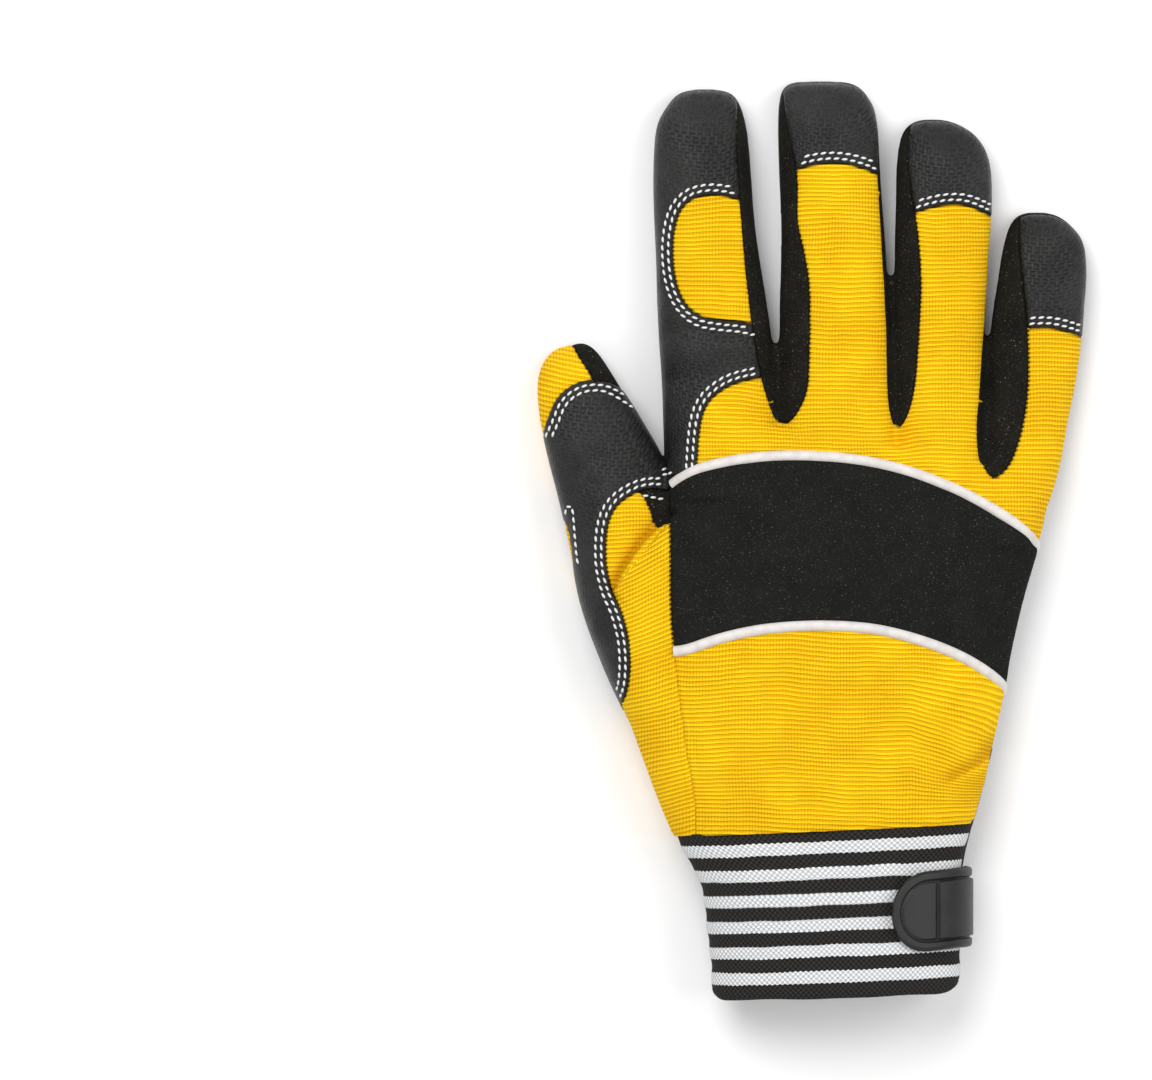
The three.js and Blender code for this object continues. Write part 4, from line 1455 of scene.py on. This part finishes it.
class GLOVE_OT_stage(bpy.types.Operator):
    """Floor, soft studio lights and the camera above the glove"""

    bl_idname = "glove.stage"
    bl_label = "Stage"

    def execute(self, context):
        bpy.ops.object.select_all(action="DESELECT")
        bpy.ops.mesh.primitive_plane_add(size=6.0, location=(0, 0, 0))
        floor = context.object
        floor.name = "floor"
        g = Graph("pale_floor", Specular_IOR_Level=0.1)
        colour = g.mix(g.noise(g.place(), 0.004, 1.0), (0.93, 0.93, 0.93), (0.95, 0.95, 0.95))
        floor.data.materials.append(g.finish(Base_Color=colour, Roughness=0.9))
        for name, place, diameter, power in LIGHTS:
            bpy.ops.object.light_add(type="AREA", location=place)
            light = context.object
            light.name = name
            light.data.shape = "DISK"
            light.data.size = diameter
            light.data.energy = power
            light.rotation_euler = Vector(place).to_track_quat("Z", "Y").to_euler()
        world = context.scene.world or bpy.data.worlds.new("world")
        context.scene.world = world
        world.use_nodes = True
        background = world.node_tree.nodes["Background"]
        background.inputs["Color"].default_value = (1, 1, 1, 1)
        background.inputs["Strength"].default_value = 0.42
        context.scene.view_settings.view_transform = "Standard"
        camera_x = (PHOTO_WIDTH / 2 - GLOVE_MIDDLE) * PIXEL * MM
        bpy.ops.object.camera_add(location=(camera_x, 0, CAMERA_HEIGHT), rotation=(0, 0, 0))
        camera = context.object
        camera.data.sensor_fit = "HORIZONTAL"
        camera.data.sensor_width = 36.0
        camera.data.lens = 36.0 * (CAMERA_HEIGHT - SHARP_HEIGHT) / (PHOTO_WIDTH * PIXEL * MM)
        camera.data.clip_end = 20.0
        context.scene.camera = camera
        return {"FINISHED"}


class GLOVE_OT_panels(bpy.types.Operator):
    """All sewn panels of knit, leather and suede"""

    bl_idname = "glove.panels"
    bl_label = "Sewn Panels"

    def execute(self, context):
        settings = context.scene.glove
        WORK["materials"] = make_materials(settings, context.scene.glove_colours)
        pieces = make_panels(settings.voxel * (1.0))
        WORK["skin"] = Skin(pieces.values())
        for name, piece in pieces.items():
            finish = PIECES[name][0]
            thicken(piece, settings.thickness * MM)
            finish_piece(piece, finish, finish, name)
        return {"FINISHED"}


class GLOVE_OT_piping(bpy.types.Operator):
    """White piping along both edges of the knuckle panel"""

    bl_idname = "glove.piping"
    bl_label = "Piping"

    def execute(self, context):
        for name, line in PIPING.items():
            places = WORK["form"].path(line, "back", 1.0, parting(*line[-1]) + 0.6)
            curve = bpy.data.curves.new("knuckle_piping_" + name, "CURVE")
            curve.dimensions = "3D"
            curve.bevel_depth = PIPING_RADIUS * MM
            curve.bevel_resolution = 6
            curve.use_fill_caps = True
            spline = curve.splines.new("POLY")
            line = np.array([tuple(place - normal * 0.05 * MM) for place, normal in places])
            for _ in range(12):
                line[1:-1] = 0.5 * line[1:-1] + 0.25 * (line[:-2] + line[2:])
            spline.points.add(len(line) - 1)
            for point, place in zip(spline.points, line):
                point.co = (*place, 1.0)
            piping = bpy.data.objects.new("piping_" + name, curve)
            context.collection.objects.link(piping)
            only(piping)
            bpy.ops.object.convert(target="MESH")
            finish_piece(context.object, "piping", "piping", "knuckle_piping_" + name)
        return {"FINISHED"}


class GLOVE_OT_cuff(bpy.types.Operator):
    """Striped elastic cuff, an open tube"""

    bl_idname = "glove.cuff"
    bl_label = "Cuff"

    def execute(self, context):
        settings = context.scene.glove
        cuff = sleeve("cuff_elastic", CUFF, 0.7, 200)
        mesh = cuff.data
        edit = bmesh.new()
        edit.from_mesh(mesh)
        caps = [face for face in edit.faces if len(face.verts) > 4]
        bmesh.ops.delete(edit, geom=caps, context="FACES_ONLY")
        edit.to_mesh(mesh)
        edit.free()
        points = coords(mesh) / MM
        around = way_round(*points.T, settings.elastic_pitch)
        points = press_flat(points * MM, CUFF_REST) / MM
        outward = normals(mesh)
        x, y = points[:, 0].copy(), points[:, 1].copy()
        from_middle = x - CUFF_MIDDLE
        down = CUFF[0][0] - y + 0.004 * from_middle
        stripe_middle = settings.stripe_start + settings.stripe_white / 2
        ripple = 0.16 * np.cos(2 * math.pi * (down - stripe_middle) / settings.stripe_pitch)
        ripple += 0.3 * np.sin(x * 0.16 + y * 0.09) + 0.22 * np.sin(x * 0.31 - y * 0.2 + 1.2)
        hem_start, hem_width, hem_roll = -130.4, 1.8, 0.9
        hem = np.clip((hem_start - y) / hem_width, 0, 1)
        points += outward * (ripple - hem_roll * hem * hem)[:, None]
        points[:, 1] += (WRIST_SLOPE - 0.00026 * down) * from_middle
        left, right, corner_radius, corner_rise, corner_start = -29.2, 41.4, 7.0, 2.3, 44.8
        corner = rolled(np.minimum(right - x, 2 * (x - left)), corner_radius) / corner_radius
        points[:, 1] += corner_rise * corner * np.clip((down - corner_start) / 4, 0, 1)
        points[:, 2] = np.maximum(points[:, 2], CUFF_LOWEST)
        set_coords(mesh, points * MM)
        store(mesh, "cloth", np.stack([around, down, np.zeros(len(x))], axis=1))
        add_modifier(cuff, "SOLIDIFY", thickness=CUFF_WALL * MM, offset=-1.0, use_quality_normals=True)
        finish_piece(cuff, "striped_elastic", "striped_elastic", "cuff")
        return {"FINISHED"}


class GLOVE_OT_closure(bpy.types.Operator):
    """Rubber closure tab round the cuff's edge, and its narrow strap"""

    bl_idname = "glove.closure"
    bl_label = "Closure"

    def tab(self):
        middle, half_length, first_x, straight_x = -106.9, 11.6, 22.0, 33.4
        round_end, rim_width, bow_power = 9.0, 1.2, 2.2
        groove_at, groove_width, groove_depth, relief = 3.0, 0.42, 0.7, 0.35
        columns, rows = 170, 120
        tab, along_tab, across_tab = grid("tab_rubber", columns, rows)
        turns = np.linspace(math.pi / 2, -math.pi / 3.4, 600)
        arc = np.array([section_point(CUFF, middle, turn, 2.4) for turn in turns])[:, (0, 2)]
        arc = arc[np.argmax(arc[:, 0] > first_x):]
        arc = arc[:np.argmax((arc[:, 1] < 12) & (arc[:, 0] < 39.2)) or len(arc) - 1]
        length = travelled(arc)
        total = length[-1]
        nose = straight_x - first_x
        s = (along_tab + 1) / 2 * total
        half_width = np.full(len(s), half_length)
        near = s < nose
        half_width[near] *= np.sqrt(np.maximum(0.0, 1 - (1 - s[near] / nose) ** bow_power))
        tail = s > total - round_end
        half_width[tail] *= np.sqrt(1 - 0.99 * ((s[tail] - total + round_end) / round_end) ** 2)
        half_width = np.maximum(half_width, 0.4)
        y = middle + across_tab * half_width
        from_side = half_width * (1 - np.abs(across_tab))
        rim = np.minimum(from_side, np.minimum(s, total - s) + 0.6)
        height = 1.5 - rolled(np.minimum(rim, rim_width), rim_width)
        bow = (np.clip(nose - s, 0, nose) / nose) ** bow_power + ((y - middle) / half_length) ** 2
        inward = np.where(near, (1 - np.sqrt(bow)) * half_length, half_length - np.abs(y - middle))
        field_start, field_end = nose + 2.2, total - 8.0
        groove = np.exp(-(((inward - groove_at) / groove_width) ** 4)) * (s < field_end)
        uprights = sum(np.exp(-(((s - at) / groove_width) ** 4)) for at in (field_start, field_end))
        depth = np.clip(groove + uprights * (inward > 2.8), 0, 1)
        raised = relief * (s > field_start + 0.5) * (s < field_end - 0.5) * (inward > 3.4)
        sunk = relief * (s < field_start - 0.5) * (inward > 3.4)
        height = height - groove_depth * depth + raised - sunk
        # The third value, the depth of the grooves, darkens the rubber there as painted shade
        store(tab.data, "cloth", np.stack([s, y, depth], axis=1))
        place = between(s, length, arc)
        along = between(s + 0.3, length, arc) - between(s - 0.3, length, arc)
        along /= np.linalg.norm(along, axis=1)[:, None]
        out = np.stack([-along[:, 1], along[:, 0]], axis=1)
        out *= np.sign((out * (place - [CUFF_MIDDLE, 16.0])).sum(axis=1))[:, None]
        lift = place + out * (height - 0.4)[:, None]
        slide = 0.35 * np.clip((place[:, 0] - 24) / 18, 0, 1)
        leaning = y + 0.075 * (np.minimum(s, nose + 10) - nose)
        set_coords(tab.data, np.stack([lift[:, 0] + slide, leaning, lift[:, 1]], axis=1) * MM)
        face_outwards(tab)
        if normals(tab.data)[len(s) // 2 - columns // 4, 2] < 0:
            tab.data.flip_normals()
        add_modifier(tab, "SOLIDIFY", thickness=TAB_WALL * MM, offset=-1.0)
        finish_piece(tab, "rubber", "rubber", "closure_tab")

    def strap(self):
        start, reach, side_angle, turn_radius = -60.5, 42.0, -17, 18.0
        strap, across, along = grid("strap_edge", 14, 60)
        share = (along + 1) / 2
        half_width = 2.3 - 0.9 * share
        turns = math.radians(side_angle) + across * half_width / turn_radius
        rows = HAND[5:] + CUFF[2:]
        places = zip(start - share * reach, turns)
        points = np.array([section_point(rows, y, turn, 1.2) for y, turn in places])
        points[:, 2] = np.maximum(points[:, 2], 1.4)
        set_coords(strap.data, points * MM)
        if normals(strap.data)[len(points) // 2, 0] < 0:
            strap.data.flip_normals()
        add_modifier(strap, "SOLIDIFY", thickness=STRAP_WALL * MM, offset=-1.0)
        store(strap.data, "cloth", np.zeros((len(strap.data.vertices), 3)))
        finish_piece(strap, "rubber", "rubber", "closure_strap")

    def execute(self, context):
        self.tab()
        self.strap()
        return {"FINISHED"}


class GLOVE_OT_stitches(bpy.types.Operator):
    """White stitches along the leather's edges and across the palm"""

    bl_idname = "glove.stitches"
    bl_label = "Stitches"

    def execute(self, context):
        groups = {}
        for group, line, side, away in DOUBLE_ROWS:
            groups.setdefault(group, []).extend(double_rows(line, side, away))
        groups["thumb"] += [(line, "back", 0.6) for line in TACKS]
        groups["quilting"] = [(line, "palm", 0.6) for line in QUILTING.values()]
        for group, runs in groups.items():
            threads = lay_stitches("stitches_" + group, runs, WORK["skin"], context.scene.glove.stitch_pitch)
            finish_piece(threads, "thread", "piping")
        return {"FINISHED"}


class GLOVE_PT_panel(bpy.types.Panel):
    """Lists the steps that model the glove"""

    bl_idname = "GLOVE_PT_panel"
    bl_label = "Work Glove"
    bl_space_type = "VIEW_3D"
    bl_region_type = "UI"
    bl_category = "Glove"

    def draw(self, context):
        for group in (context.scene.glove, context.scene.glove_colours):
            for name in group.bl_rna.properties.keys():
                if name not in ("rna_type", "name"):
                    self.layout.prop(group, name)
        for operator in OPERATORS:
            self.layout.operator(operator.bl_idname)


OPERATORS = [
    GLOVE_OT_stage, GLOVE_OT_panels, GLOVE_OT_piping, GLOVE_OT_cuff, GLOVE_OT_closure, GLOVE_OT_stitches,
]
CLASSES = [GloveSettings, GloveColours, *OPERATORS, GLOVE_PT_panel]


def register():
    for cls in CLASSES:
        bpy.utils.register_class(cls)
    bpy.types.Scene.glove = bpy.props.PointerProperty(type=GloveSettings)
    bpy.types.Scene.glove_colours = bpy.props.PointerProperty(type=GloveColours)


def unregister():
    del bpy.types.Scene.glove_colours
    del bpy.types.Scene.glove
    for cls in reversed(CLASSES):
        bpy.utils.unregister_class(cls)


def main():
    register()
    bpy.ops.glove.stage()
    bpy.ops.glove.panels()
    bpy.ops.glove.piping()
    bpy.ops.glove.cuff()
    bpy.ops.glove.closure()
    bpy.ops.glove.stitches()


if __name__ == "__main__":
    main()
